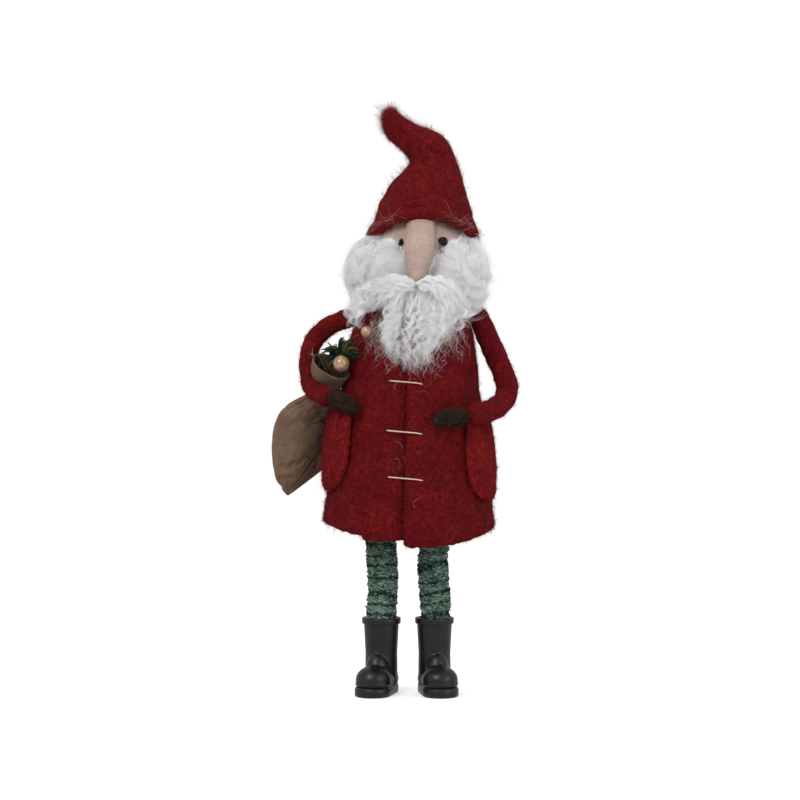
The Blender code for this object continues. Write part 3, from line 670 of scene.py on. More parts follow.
def hat_grid(rows, sides):
    """Rings of the hat's outer face, with its brim sloping back and arched over the face."""
    table = np.array([(*middle, angle, wide, deep) for middle, angle, wide, deep in HAT_SECTIONS])
    table = smooth_route(table, 12)
    x, y, z, angle, wide, deep = read_at(table, np.linspace(0, len(table) - 1, rows)).T[..., None]
    around = round_turns(sides)
    across, ahead = np.cos(around) * wide, -np.sin(around) * deep
    spots = np.stack([x + across * np.cos(angle), y + ahead, z + across * np.sin(angle)], axis=-1)
    foot, top = HAT_SECTIONS[0][0][2], HAT_SECTIONS[3][0][2]
    share = np.clip((top - z) / (top - foot), 0, 1)
    spots[..., 2] -= spots[..., 1] * BRIM_PITCH * share
    front = np.maximum(0.0, -spots[..., 1] / HAT_SECTIONS[0][3])
    spots[..., 2] += (BRIM_ARCH * (front**3 - 0.45 * front) - BRIM_DROP * (1 - front**2)) * share**2
    return spots


def make_hat(materials, fibres):
    rows, sides = 130, 140
    grid = hat_grid(rows, sides)
    centre = grid.mean(axis=1, keepdims=True)
    flat = grid.reshape(-1, 3)
    bumps = rough(flat, 9.0, 21.0, 2) * 0.7 + rough(flat, 3.0, 22.0, 3) * 0.28
    bumps = bumps.reshape(rows, sides) + rough(flat, 1.1, 23.0, 2).reshape(rows, sides) * 0.1
    t = np.linspace(0, 1, rows)[:, None]
    x, z = grid[..., 0], grid[..., 2]
    crease = np.exp(-(((z - 191.5) / 2.2) ** 2)) * np.exp(-(((x - 3.0) / 5.5) ** 2))
    fold = np.exp(-(((z - 196.0 + 0.55 * (x - 6)) / 1.1) ** 2)) * np.exp(-(((x - 9.0) / 5.0) ** 2))
    brim = 0.9 * np.exp(-(((t - 0.04) / 0.035) ** 2)) - 0.5 * np.exp(-(((t - 0.115) / 0.02) ** 2))
    bumps = bumps * np.clip((1 - t) * 6, 0.1, 1) - 0.4 * crease - 0.9 * fold + brim
    outer = grid + unit(grid - centre) * bumps[..., None]
    # The wall: an edge rolled round the brim, then the inner face up to a closed end.
    roll = []
    for angle in np.linspace(0.25, 1, 7) * math.pi:
        inward = HAT_WALL / 2 * (1 - math.cos(angle))
        drop = HAT_WALL / 2 * math.sin(angle)
        roll.append(outer[0] - unit(outer[0] - centre[0]) * inward + (0, 0, -drop))
    inner_rows = 16
    inner = []
    for i in range(1, inner_rows):
        j = int(i * rows * 0.55 / inner_rows)
        inner.append(outer[j] - unit(outer[j] - centre[j]) * (HAT_WALL + 0.2 * i))
    rings = np.concatenate([np.array(inner)[::-1], np.array(roll)[::-1], outer])
    hat = closed_tube("felt_hat", rings, materials, "figure")
    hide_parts("hat")
    normals = unit(outer - centre)
    fuzz("hat_fuzz", outer, normals, 8300, fibres, "figure", 51)
    fuzz("hat_long_fuzz", outer, normals, 1500, fibres[-2:], "figure", 53, lift=0.4, **LONG_FUZZ)
    fuzz("brim_fuzz", outer[:5], normals[:5], 900, fibres, "figure", 52, lift=1.0)
    return outer


HEAD_MIDDLE = np.array((4.8, -0.5, 158.5))
HEAD_RADII = np.array((17.3, 16.7, 18.0))
NOSE_SECTIONS = (
    # middle, half width, half depth
    ((4.6, -13.6, 171.0), 4.3, 3.0),
    ((4.4, -15.6, 166.0), 5.1, 4.2),
    ((4.1, -17.2, 160.0), 5.4, 5.6),
    ((3.6, -18.4, 154.4), 4.7, 5.8),
    ((3.0, -19.3, 149.8), 3.5, 5.0),
    ((2.5, -19.8, 146.8), 2.2, 3.6),
    ((2.3, -19.9, 145.5), 0.4, 0.8),
)


def on_head(x, z, lift=0.0):
    """The point on the front of the head at an X and a height."""
    inside = 1 - ((x - HEAD_MIDDLE[0]) / HEAD_RADII[0]) ** 2 - ((z - HEAD_MIDDLE[2]) / HEAD_RADII[2]) ** 2
    y = HEAD_MIDDLE[1] - HEAD_RADII[1] * np.sqrt(np.maximum(inside, 0.0))
    spot = np.stack(np.broadcast_arrays(x, y, z), axis=-1).astype(float)
    return spot + unit((spot - HEAD_MIDDLE) / HEAD_RADII**2) * lift


def make_head(skin, skin_fibres, eye_material, eye_fibres, wool):
    normals = ball_normals(70, 90, 0.02)
    grid = roughened(HEAD_MIDDLE + normals * HEAD_RADII, normals, ((3.0, 31.0, 3, 0.3),))
    head = closed_tube("felt_head", grid, skin, "figure")
    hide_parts("head")
    front = (grid[..., 1] < -8) & (grid[..., 2] > 146)
    fuzz("face_fuzz", grid[front], normals[front], 1600, skin_fibres, "figure", 61, radius=0.025,
         length=(0.5, 1.4), lift=0.35)
    beside = np.abs(grid[..., 0] - NOSE_SECTIONS[3][0][0] - 0.6)
    level = (grid[..., 2] > 145) & (grid[..., 2] < 158.5)
    strip = (beside > 4.2) & (beside < 9.5) & (grid[..., 1] < -8) & level
    fuzz("cheek_edge_wool", grid[strip], normals[strip], 900, wool, "figure", 63, radius=0.026,
         length=(1.5, 4.0), lift=0.9, curliness=0.2, points=7)
    make_nose(skin, skin_fibres)
    for side in SIGN:
        make_eye(side, eye_material, eye_fibres)


def make_nose(skin, skin_fibres):
    table = smooth_route([(*middle, wide, deep) for middle, wide, deep in NOSE_SECTIONS], 12)
    around = round_turns(56)
    spots = [
        table[:, 0:1] + np.cos(around) * table[:, 3:4],
        table[:, 1:2] - np.sin(around) * table[:, 4:5],
        table[:, 2:3] + 0 * around,
    ]
    rings = np.stack(spots, axis=-1)[::-1]
    centre = rings.mean(axis=1, keepdims=True)
    rings = roughened(rings, unit(rings - centre), ((2.5, 33.0, 3, 0.28), (0.9, 34.0, 2, 0.08)))
    nose = closed_tube("felt_nose", rings, skin, "figure")
    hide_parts("nose")
    fuzz("nose_fuzz", rings, unit(rings - centre), 1500, skin_fibres, "figure", 62, radius=0.022,
         length=(0.4, 1.2), lift=0.3)


def make_eye(side, material, fibres):
    """A small dark bead with a wisp of dark fibres felted under it."""
    low, high = local_box(f"eye_{side}")
    middle = (low + high) / 2
    sign = SIGN[side]
    wide, tall = (1.9, 1.6) if side == "left" else (1.1, 1.3)
    normals = ball_normals(18, 24, 0.05)[..., [0, 2, 1]]
    spot = on_head(middle[0] + (0.7 if side == "right" else 0.0), middle[2])
    grid = roughened(spot + normals * (wide, 0.8, tall), normals, ((0.8, 35.0 + sign, 3, 0.28),))
    eye = closed_tube(f"felt_eye_{side}", grid, material, "figure")
    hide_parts(f"eye_{side}")
    fuzz(f"eye_fuzz_{side}", grid, normals, 260, fibres, "figure", 72 + sign, length=(0.5, 1.3),
         radius=0.03, lift=1.4)
    rng = np.random.default_rng(70 + sign)
    count = 110 if side == "left" else 90
    x = middle[0] + rng.normal(0, 0.75, count) - sign * 0.4
    z = middle[2] + rng.uniform(-3.6, 1.0, count)
    root = on_head(x, z, 0.25)
    way = unit(rng.normal(size=(count, 3)) * (0.5, 0.15, 0.5) + (0, 0, -1))
    reach = rng.uniform(0.8, 2.0, (count, 1, 1))
    t = np.linspace(0, 1, 6)[None, :, None]
    paths = root[:, None] + way[:, None] * reach * t + curl(rng, count, 6, reach, 0.16)
    fibre_mesh(f"eye_wisp_{side}", paths, 0.035, fibres, "figure", rng)


# ---------------------------------------------------------------- wool


def lock_strands(rng, route, count, spread, waves, wave_size, points=26):
    """Strands that follow one lock's route, each with its own start, length and curl round it."""
    ahead = unit(np.gradient(route, axis=0))
    aside = unit(np.cross(ahead, (0.0, 1.0, 0.15)))
    out = np.cross(aside, ahead)
    t = np.linspace(0, 1, points)[None, :]
    start = rng.uniform(-0.02, 0.2, (count, 1)).clip(0)
    own = start + (rng.uniform(0.75, 1.0, (count, 1)) - start) * t
    phase = rng.uniform(0, TAU) + rng.normal(0, 0.45, (count, 1))
    pace = waves * rng.uniform(0.94, 1.06, (count, 1))
    size = wave_size * rng.uniform(0.6, 1.3, (count, 1)) * np.clip(own * 3, 0.2, 1)
    sway = np.sin(TAU * pace * own + phase) * size
    bob = np.cos(TAU * pace * own + phase) * size * 0.7
    place = rng.normal(0, 1, (count, 2)) * spread
    fan = 0.8 + 0.5 * own
    index = own * (len(route) - 1)
    paths = read_at(route, index) + read_at(aside, index) * (sway + place[:, :1] * fan)[..., None]
    paths = paths + read_at(out, index) * (bob + place[:, 1:] * fan)[..., None]
    return paths + curl(rng, count, points, 6.0, 0.01)


def guide_route(points, steps=30):
    route = smooth_route(points, 12)
    return read_at(route, np.linspace(0, len(route) - 1, steps))


def between_guides(rng, guides, locks, strands, wave_size):
    """Small locks spread over the sheet that the guides span, fuller where a guide's share is higher."""
    routes = np.array([guide_route(points) for points, _ in guides])
    shares = np.array([share for _, share in guides])
    paths = []
    while len(paths) < locks:
        place = rng.uniform(0, len(guides) - 1)
        i, f = int(place), place % 1
        if rng.random() > shares[i] * (1 - f) + shares[i + 1] * f:
            continue
        route = routes[i] * (1 - f) + routes[i + 1] * f
        shrink = rng.uniform(0.5, 0.95) if rng.random() < 0.6 else 1.0
        route = read_at(route, np.linspace(0, (len(route) - 1) * shrink, len(route)))
        drift = rng.normal(0, 1, 3) * (0.9, 0.7, 0.4)
        route = route + drift * np.linspace(0.5, 1.3, len(route))[:, None]
        length = np.sum(np.linalg.norm(np.diff(route, axis=0), axis=1))
        waves = length / rng.uniform(3.8, 7.0)
        size = wave_size * rng.uniform(0.6, 1.25)
        paths.append(lock_strands(rng, route, strands, rng.uniform(0.1, 0.28), waves, size))
    return np.concatenate(paths)


def flow(points, size, seed):
    """A smooth field of directions, which makes neighbouring strands turn together."""
    shift = Vector((seed * 3.7, seed * 1.9, seed * 2.3))
    return np.array([noise.noise_vector(Vector(p) / size + shift) for p in points])


def combed(rng, middle, radii, root, down, reach, swirl, seed, points=15, lift=0.5, flyaway=1.6):
    """Strands that run over an ellipsoid of wool, turning with the flow; a few stand away at their tips."""
    middle, radii, down = np.array(middle), np.array(radii), np.array(down)
    count = len(root)
    step = rng.uniform(*reach, (count, 1)) / (points - 1)
    away = rng.exponential(0.35, (count, 1)) * flyaway * (rng.random((count, 1)) < 0.4)
    base = rng.uniform(0.0, lift, (count, 1))
    spot, way, path = root, np.zeros_like(root), []
    for i in range(points):
        offset = (spot - middle) / radii
        far = np.linalg.norm(offset, axis=1, keepdims=True)
        normal = unit(offset / radii)
        height = base + away * (i / (points - 1)) ** 2 + 0.25 * math.sin(math.pi * i / (points - 1))
        spot = middle + (spot - middle) / far + normal * height if i else spot
        path.append(spot)
        turn = down + swirl * flow(spot, 4.5, seed) + rng.normal(0, 0.1, (count, 3))
        turn = turn - normal * np.sum(turn * normal, axis=1, keepdims=True)
        way = unit(way * 0.6 + unit(turn))
        spot = spot + way * step
    return np.stack(path, axis=1)


def keep_outside(paths, gap=0.15):
    """Pushes strands out of the head and out of the coat."""
    offset = (paths - HEAD_MIDDLE) / (HEAD_RADII + gap)
    reach = np.linalg.norm(offset, axis=-1, keepdims=True)
    paths = np.where(reach < 1, HEAD_MIDDLE + (paths - HEAD_MIDDLE) / np.maximum(reach, 0.2), paths)
    half, middle = coat_size(paths[..., 2])
    below = paths[..., 2] < COAT_ROWS[-1][0]
    x = (paths[..., 0] - middle) / (half + gap)
    y = paths[..., 1] / (half * COAT_ROUND + gap)
    near = np.sqrt(x**2 + y**2)
    push = below & (near < 1) & (near > 0.05)
    scale = np.where(push, 1 / np.maximum(near, 0.05), 1.0)
    paths = paths.copy()
    paths[..., 0] = middle + (paths[..., 0] - middle) * scale
    paths[..., 1] = paths[..., 1] * scale
    return paths


CUSHION_SHARE = 0.9  # size of the dense mass over that of the loose wool round it


def wool_cushion(name, middle, radii, materials, seed, node, lumps=1.0):
    """The dense wool behind the loose strands."""
    normals = ball_normals(40, 56, 0.03)
    grid = np.array(middle) + normals * np.array(radii) * CUSHION_SHARE
    grid = roughened(grid, normals, ((4.0, seed, 3, 1.1), (1.5, seed + 1, 2, 0.35)), lumps)
    piece = closed_tube(name, grid, materials, "figure")
    if node:
        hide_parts(node)
    return grid + normals * np.array(radii) * (1 - CUSHION_SHARE), normals


# Guides from the figure's right to its left: root, waypoints and tip, and how full the wool is there.
BEARD_GUIDES = (
    (((-15.4, -13.4, 147.0), (-19.6, -14.4, 142.0), (-21.0, -14.2, 137.0), (-20.0, -14.8, 132.8)), 0.75),
    (((-12.9, -16.6, 147.0), (-17.2, -17.8, 141.0), (-19.0, -17.2, 134.8), (-16.8, -17.2, 128.6)), 1.0),
    (((-9.9, -18.8, 144.6), (-14.0, -19.4, 138.3), (-14.8, -18.4, 132.7), (-12.4, -19.0, 127.4)), 0.06),
    (((-7.1, -20.2, 142.0), (-9.4, -22.0, 135.2), (-9.6, -20.8, 128.6), (-6.6, -21.2, 121.8)), 0.12),
    (((-3.4, -21.0, 144.8), (-5.4, -23.4, 133.4), (-6.4, -22.2, 126.0), (-2.2, -21.8, 116.6)), 0.7),
    (((0.4, -21.2, 145.0), (0.0, -24.2, 133.4), (-1.6, -23.0, 124.4), (1.2, -22.2, 115.2)), 1.0),
    (((4.2, -21.2, 145.0), (5.0, -24.2, 133.4), (3.6, -22.8, 124.4), (2.6, -22.0, 114.4)), 1.0),
    (((8.4, -20.6, 144.8), (9.8, -23.6, 134.1), (8.2, -22.2, 126.0), (4.4, -21.8, 117.6)), 1.0),
    (((12.6, -19.4, 142.2), (14.0, -21.8, 136.0), (12.4, -20.6, 129.4), (8.8, -21.0, 122.6)), 0.7),
    (((16.8, -17.2, 143.0), (18.4, -18.8, 137.8), (17.4, -17.8, 132.7), (13.6, -19.0, 126.8)), 0.5),
    (((20.2, -13.8, 145.0), (22.2, -15.0, 140.8), (21.6, -14.4, 136.0), (18.8, -15.8, 130.8)), 0.4),
)
MOUSTACHE_GUIDES = {
    "right": (
        (((1.4, -24.5, 144.2), (-2.2, -26.0, 143.0), (-4.6, -25.2, 138.4), (-5.4, -23.6, 131.6)), 0.8),
        (((1.8, -24.5, 144.8), (-3.4, -25.9, 145.0), (-8.6, -24.0, 141.0), (-11.6, -21.4, 133.6)), 0.12),
        (((2.2, -24.3, 145.4), (-3.6, -25.4, 146.6), (-10.4, -23.2, 144.8), (-17.0, -19.0, 135.4)), 1.0),
        (((2.0, -24.0, 146.4), (-3.6, -24.4, 148.4), (-10.4, -21.8, 147.4), (-17.8, -17.6, 140.6)), 0.8),
    ),
    "left": (
        (((3.8, -24.5, 144.2), (7.0, -26.0, 142.6), (9.6, -25.2, 138.0), (10.6, -23.2, 131.6)), 0.8),
        (((3.4, -24.5, 144.8), (8.4, -25.6, 144.6), (13.0, -24.0, 140.6), (15.6, -21.6, 133.8)), 0.8),
        (((3.0, -24.3, 145.4), (8.6, -25.2, 146.2), (15.0, -22.8, 143.6), (20.6, -18.2, 135.6)), 1.0),
        (((3.2, -24.0, 146.4), (9.0, -24.0, 148.0), (15.4, -21.2, 146.6), (21.8, -16.8, 140.6)), 0.8),
    ),
}
# Each mass of wool is an ellipsoid: its middle and its radii.
CHEEKS = {
    "right": ((-5.8, -11.0, 152.2), (7.6, 6.4, 9.0)),
    "left": ((14.6, -10.8, 151.4), (7.5, 6.4, 9.2)),
}
SIDE_HAIR = {
    "right": ((-11.6, -4.6, 150.2), (9.2, 10.8, 12.6)),
    "left": ((19.4, -4.6, 149.6), (7.8, 10.8, 13.2)),
}
BACK_HAIR = ((4.6, 7.8, 150.4), (18.2, 11.2, 13.2))
STRAND = 0.042
# The wool's glow is painted light: it stands in for light scattered between the fibres.
WOOL_GLOW = 0.08


def add_locks(name, paths, strands, rng):
    """A piece of wool strands, thick and thin among each other."""
    paths = keep_outside(paths)
    return fibre_mesh(name, paths, rng.uniform(0.75, 1.3, len(paths)) * STRAND, strands, "figure", rng)


def make_beard(cushion, strands, stray):
    rng = np.random.default_rng(81)
    wool_cushion("beard_mass", (5.0, -12.2, 142.0), (13.6, 8.4, 7.0), cushion, 41.0, "beard")
    for number, locks, each, wave in ((1, 22, 26, 1.3), (2, 22, 26, 1.3), (3, 60, 6, 1.6)):
        add_locks(f"beard_locks_{number}", between_guides(rng, BEARD_GUIDES, locks, each, wave), strands, rng)
    for side, guides in MOUSTACHE_GUIDES.items():
        piece = add_locks(f"moustache_locks_{side}", between_guides(rng, guides, 24, 24, 0.8), strands, rng)
        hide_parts(f"moustache_{side}")
    make_beard_wisps(rng, stray + strands[:2])


def make_beard_wisps(rng, strands):
    """Thin wisps round the beard's edge, through which the coat shows."""
    count, points = 300, 26
    across = rng.uniform(-15, 19, count)
    drop = 131 - 11.5 * np.cos((across - 2) / 20 * math.pi / 1.9) + rng.normal(0, 3.0, count)
    half, middle = coat_size(drop)
    turn = np.arcsin(np.clip((across - middle) / half, -0.95, 0.95))
    root = on_coat(turn, drop + 8, 1.4)
    tip = on_coat(turn + rng.normal(0, 0.14, count), drop - rng.uniform(0, 3, count), 0.9)
    t = np.linspace(0, 1, points)[None, :, None]
    swing = np.sin(TAU * (t * rng.uniform(1.2, 3.0, (count, 1, 1)) + rng.random((count, 1, 1))))
    swing = swing * rng.uniform(0.4, 1.3, (count, 1, 1)) * np.array((1.0, 0.25, 0.3))
    paths = root[:, None] * (1 - t) + tip[:, None] * t + swing
    paths = paths + curl(rng, count, points, 9.0, 0.012)
    fibre_mesh("beard_wisps", keep_outside(paths, 0.3), 0.032, strands, "figure", rng)


def tufted(rng, spots, tufts, each, spread=0.45):
    """Root points gathered in tufts."""
    middles = spots[rng.choice(len(spots), tufts)]
    return np.repeat(middles, each, axis=0) + rng.normal(0, spread, (tufts * each, 3))


def make_side_hair(side, cushion, strands):
    middle, radii = SIDE_HAIR[side]
    sign = SIGN[side]
    name, node = f"hair_mass_{side}", f"side_hair_{side}"
    grid, normals = wool_cushion(name, middle, radii, cushion, 43.0 + sign, node, lumps=1.5)
    rng = np.random.default_rng(90 + sign)
    spots, ways = grid.reshape(-1, 3), normals.reshape(-1, 3)
    seen = np.flatnonzero((ways[:, 1] < 0.75) & (spots[:, 2] < 163))
    for part in (1, 2):
        root = tufted(rng, spots[seen], 100, 24)
        down = (sign * 0.25, -0.1, -1.0)
        paths = combed(rng, middle, radii, root, down, (4.0, 10.0), 2.1, 5.0 + part, lift=1.9, flyaway=3.2)
        fibre_mesh(f"hair_locks_{side}_{part}", keep_outside(paths), STRAND, strands, "figure", rng)


def make_back_hair(cushion, strands):
    middle, radii = BACK_HAIR
    grid, normals = wool_cushion("hair_mass_back", middle, radii, cushion, 47.0, "back_hair")
    rng = np.random.default_rng(97)
    spots, ways = grid.reshape(-1, 3), normals.reshape(-1, 3)
    seen = np.flatnonzero((ways[:, 1] > -0.2) & (spots[:, 2] < 162))
    root = tufted(rng, spots[seen], 140, 24)
    paths = combed(rng, middle, radii, root, (0.0, 0.1, -1.0), (5.0, 12.0), 1.3, 9.0)
    fibre_mesh("hair_locks_back", keep_outside(paths), STRAND, strands, "figure", rng)


def make_cheeks(cushion, strands):
    """Thin wool over the cheeks, combed from the nose out to the side hair."""
    for side, (middle, radii) in CHEEKS.items():
        sign = SIGN[side]
        name = f"cheek_mass_{side}"
        grid, normals = wool_cushion(name, middle, radii, cushion, 49.0 + sign, None, lumps=0.7)
        rng = np.random.default_rng(101 + sign)
        spots, ways = grid.reshape(-1, 3), normals.reshape(-1, 3)
        seen = np.flatnonzero(ways[:, 1] < 0.1)
        root = tufted(rng, spots[seen], 130, 18, 0.8)
        down = (sign * 0.8, 0.0, -0.8)
        paths = combed(rng, middle, radii, root, down, (2.5, 7.0), 1.1, 12.0 + sign, lift=0.6)
        fibre_mesh(f"cheek_wool_{side}", keep_outside(paths, 0.2), STRAND * 0.8, strands, "figure", rng)
        fuzz(f"cheek_fuzz_{side}", spots[seen], ways[seen], 3200, strands, "figure", 103 + sign,
             length=(1.2, 4.2), radius=STRAND * 0.7, lift=0.9, curliness=0.22, points=6)


def make_stray_fibres(pale):
    """Loose curly fibres on the coat's front."""
    rng = np.random.default_rng(111)
    count, points = 13, 26
    turn = rng.normal(-0.02, 0.2, count)
    height = rng.uniform(64, 116, count)
    root = on_coat(turn, height, 1.3)
    way = unit(np.stack([rng.normal(size=count), 0.0 * turn, rng.normal(size=count)], axis=-1))
    reach = rng.uniform(2.0, 7.0, (count, 1, 1))
    t = np.linspace(0, 1, points)[None, :, None]
    loop = rng.uniform(0.5, 1.0, (count, 1, 1))
    bend = np.sin(t * TAU * loop) * reach * 0.17
    cross = np.stack([-way[:, 2], 0 * turn, way[:, 0]], axis=-1)
    paths = root[:, None] + way[:, None] * reach * t * 0.8 + cross[:, None] * bend
    paths = paths + curl(rng, count, points, reach, 0.002)
    fibre_mesh("stray_fibres", keep_outside(paths, 1.2), 0.02, pale, "figure", rng)


def make_brim_fibres(outer, pale):
    """Loose fibres at the two ends of the hat's brim, from its outer face's rings."""
    rng = np.random.default_rng(113)
    count, points = 150, 16
    sides = outer.shape[1]
    front = TAU * np.arange(sides) / sides
    ends = np.flatnonzero(np.abs(np.cos(front)) > 0.45)
    ends = ends[np.sin(front[ends]) > -0.1]
    column = rng.choice(ends, count)
    row = rng.integers(0, 9, count)
    root = outer[row, column]
    centre = outer.mean(axis=1)[row]
    normal = unit((root - centre) * (1, 1, 0))
    sense = rng.choice([-1, 1], count)[:, None]
    way = unit(np.cross(normal, (0, 0, 1)) * sense + rng.normal(0, 0.4, (count, 3)))
    reach = rng.uniform(3.0, 8.0, (count, 1, 1))
    t = np.linspace(0, 1, points)[None, :, None]
    paths = root[:, None] + normal[:, None] * 0.4 + way[:, None] * reach * t
    paths = paths + curl(rng, count, points, reach, 0.025)
    fibre_mesh("brim_stray_fibres", paths, 0.02, pale, "figure", rng)


# ---------------------------------------------------------------- legs and boots

BOOT_X = {"right": -9.6, "left": 9.5}
BOOT_TURN = {"right": math.radians(-18), "left": math.radians(12)}
BOOT_TOP, COLLAR_HEIGHT = 27.3, 2.3
STOCKING_RADIUS = 5.0


def make_stocking(side, base, yarns):
    """A knit tube pushed down in soft rings, with loops of its yarns standing out of it and dark fibres
    packed into its hollows as painted shade.
    """
    low, high = local_box(f"stocking_{side}")
    sign = SIGN[side]
    x = (low[0] + high[0]) / 2
    foot, top = BOOT_TOP - 4.0, high[2] + 0.8
    rows, sides = 150, 72
    t = np.linspace(0, 1, rows)
    z = foot + (top - foot) * t
    lean = 0.7 * np.sin(t * math.pi * 1.6 + sign) * np.clip(t * 4, 0, 1) * np.clip((1 - t) * 6, 0.3, 1)
    route = np.stack([x + lean * 0.8, 0.4 * np.sin(t * 5.0 + sign), z], axis=-1)
    around = round_turns(sides)
    phase = 0.1 * np.sin(around + sign) + 0.07 * np.sin(2 * around + 1)
    rings = 7.2
    uneven = t + 0.028 * np.sin(11 * t + 2 * sign) + 0.02 * np.sin(23 * t)
    bunch = np.abs(np.sin(math.pi * (rings * uneven[:, None] + phase))) ** 0.55
    swell = 0.45 + 0.3 * np.sin(7.3 * t + sign)[:, None] + 0.2 * np.sin(around * 2 + 9 * t[:, None])
    radii = STOCKING_RADIUS + 0.2 - swell.clip(0.15) * (1 - bunch) * 1.3
    grid = tube_grid(route, radii, sides)
    grid = roughened(grid, unit(grid - route[:, None]), ((1.6, 51.0 + sign, 3, 0.3), (0.6, 52.0, 2, 0.12)))
    piece = closed_tube(f"knit_stocking_{side}", grid, base, "figure")
    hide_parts(f"stocking_{side}")
    rng = np.random.default_rng(120 + sign)
    normals = unit(grid - route[:, None])
    shaded_hollow = (bunch + 0 * around) < 0.55
    everywhere = np.ones_like(shaded_hollow)
    # The dark fibres only in the hollows between the rings are painted shade; the dark loops and white flecks
    # spread everywhere are the yarn's own colours.
    for name, materials, count, where, stand, radius in (
        ("mid", yarns["mid"], 1700, everywhere, 0.35, 0.17),
        ("dark", yarns["dark"], 800, shaded_hollow, 0.8, 0.13),
        ("loops", yarns["dark"], 360, everywhere, 0.75, 0.11),
        ("white", yarns["white"], 420, everywhere, 0.5, 0.09),
    ):
        picked = rng.choice(np.flatnonzero(where.reshape(-1)), count)
        root = grid.reshape(-1, 3)[picked]
        normal = normals.reshape(-1, 3)[picked]
        level = unit(np.cross(normal, (0, 0, 1.0)))
        sense = rng.choice([-1, 1], count)[:, None]
        way = unit(level * sense + np.array([0, 0, 1.0]) * rng.normal(0, 0.5, (count, 1)))
        reach = rng.uniform(0.7, 1.9, (count, 1, 1)) * (0.6 if name == "white" else 1.0)
        s = np.linspace(-0.5, 0.5, 7)[None, :, None]
        paths = root[:, None] + way[:, None] * reach * s
        paths = paths + normal[:, None] * (stand * np.cos(math.pi * s) - 0.12)
        piece_name = f"stocking_yarn_{name}_{side}"
        fibre_mesh(piece_name, paths, radius, materials, "figure", rng, sides=5, taper=0.9)


def make_boot(side, material):
    """The moulded boot: its shaft, foot, instep bulge and toe run into each other, above a welted sole."""
    turn, x = BOOT_TURN[side], BOOT_X[side]
    bm = bmesh.new()

    def ball(middle, radii):
        made = bmesh.ops.create_uvsphere(bm, u_segments=32, v_segments=20, radius=1.0)
        for vert in made["verts"]:
            vert.co = Vector(middle) + Vector(c * r for c, r in zip(vert.co, radii))

    def drum(foot, top, low_radius, high_radius, squash=1.0, y=0.0):
        made = bmesh.ops.create_cone(bm, cap_ends=True, segments=48, radius1=low_radius,
                                     radius2=high_radius, depth=top - foot)
        for vert in made["verts"]:
            vert.co.z += (foot + top) / 2
            vert.co.y = vert.co.y * squash + y

    drum(3.0, 15.0, 5.9, 5.75)
    drum(14.5, BOOT_TOP - 1.2, 5.75, 6.35)
    ball((0, -8.9, 5.9), (6.35, 6.5, 5.0))
    ball((0, -8.9, 4.6), (6.5, 6.6, 3.0))
    ball((0, -4.2, 8.6), (4.3, 4.6, 6.6))
    ball((0, -4.5, 5.0), (5.9, 7.0, 4.4))
    ball((0, 1.2, 5.2), (5.9, 5.7, 4.6))
    mesh = bpy.data.meshes.new(f"boot_upper_{side}")
    bm.to_mesh(mesh)
    bm.free()
    shape = place_object(f"boot_upper_{side}", mesh)
    remesh = shape.modifiers.new("remesh", "REMESH")
    remesh.mode = "VOXEL"
    remesh.voxel_size = 0.3
    smooth = shape.modifiers.new("smooth", "SMOOTH")
    smooth.factor = 0.6
    smooth.iterations = 5
    verts, faces = joined([mesh_verts(shape), boot_collar(), boot_sole()])
    c, s = math.cos(turn), math.sin(turn)
    across, ahead, up = verts.T
    spun = np.stack([x + across * c - ahead * s, across * s + ahead * c, up], axis=-1)
    boot = add_piece(f"moulded_boot_{side}", spun, faces, material, "figure")
    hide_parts(f"boot_{side}")


def mesh_verts(obj):
    """Vertices and faces of an object with its modifiers applied; the object goes."""
    graph = bpy.context.evaluated_depsgraph_get()
    graph.update()
    mesh = bpy.data.meshes.new_from_object(obj.evaluated_get(graph))
    verts = np.empty(len(mesh.vertices) * 3)
    mesh.vertices.foreach_get("co", verts)
    faces = [list(polygon.vertices) for polygon in mesh.polygons]
    bpy.data.objects.remove(obj)
    bpy.data.meshes.remove(mesh)
    return verts.reshape(-1, 3), faces


def joined(parts):
    verts, faces, start = [], [], 0
    for part_verts, part_faces in parts:
        verts.append(part_verts)
        faces += [[i + start for i in face] for face in part_faces]
        start += len(part_verts)
    return np.vstack(verts), faces


def turned(profile, sides):
    """The points of a profile of (radius, height), turned about Z."""
    profile = np.array(profile, float)
    angle = round_turns(sides)
    spots = (profile[:, :1] * np.cos(angle), profile[:, :1] * np.sin(angle), profile[:, 1:] + 0 * angle)
    return np.stack(spots, axis=-1).reshape(-1, 3)


def turned_ring(profile, sides=64):
    """A ring from a closed profile, whose last row meets its first."""
    rows = len(profile)
    faces = grid_faces(rows, sides, closed=True)
    last = grid_faces(2, sides, closed=True)
    last = np.where(last < sides, last + (rows - 1) * sides, last - sides)
    return turned(profile, sides), np.vstack([faces, last]).tolist()


def boot_collar():
    """The rolled collar, with its mouth open round the stocking."""
    inner, outer, foot = 5.6, 7.0, BOOT_TOP - COLLAR_HEIGHT
    profile = []
    corner = 0.45
    for cx, cz, first in (
        (outer - corner, foot + corner, -90),
        (outer - corner, BOOT_TOP - corner, 0),
        (inner + corner, BOOT_TOP - corner, 90),
    ):
        for k in range(5):
            angle = math.radians(first + 22.5 * k)
            profile.append((cx + corner * math.cos(angle), cz + corner * math.sin(angle)))
    profile.append((inner, foot + 0.4))
    return turned_ring(profile)


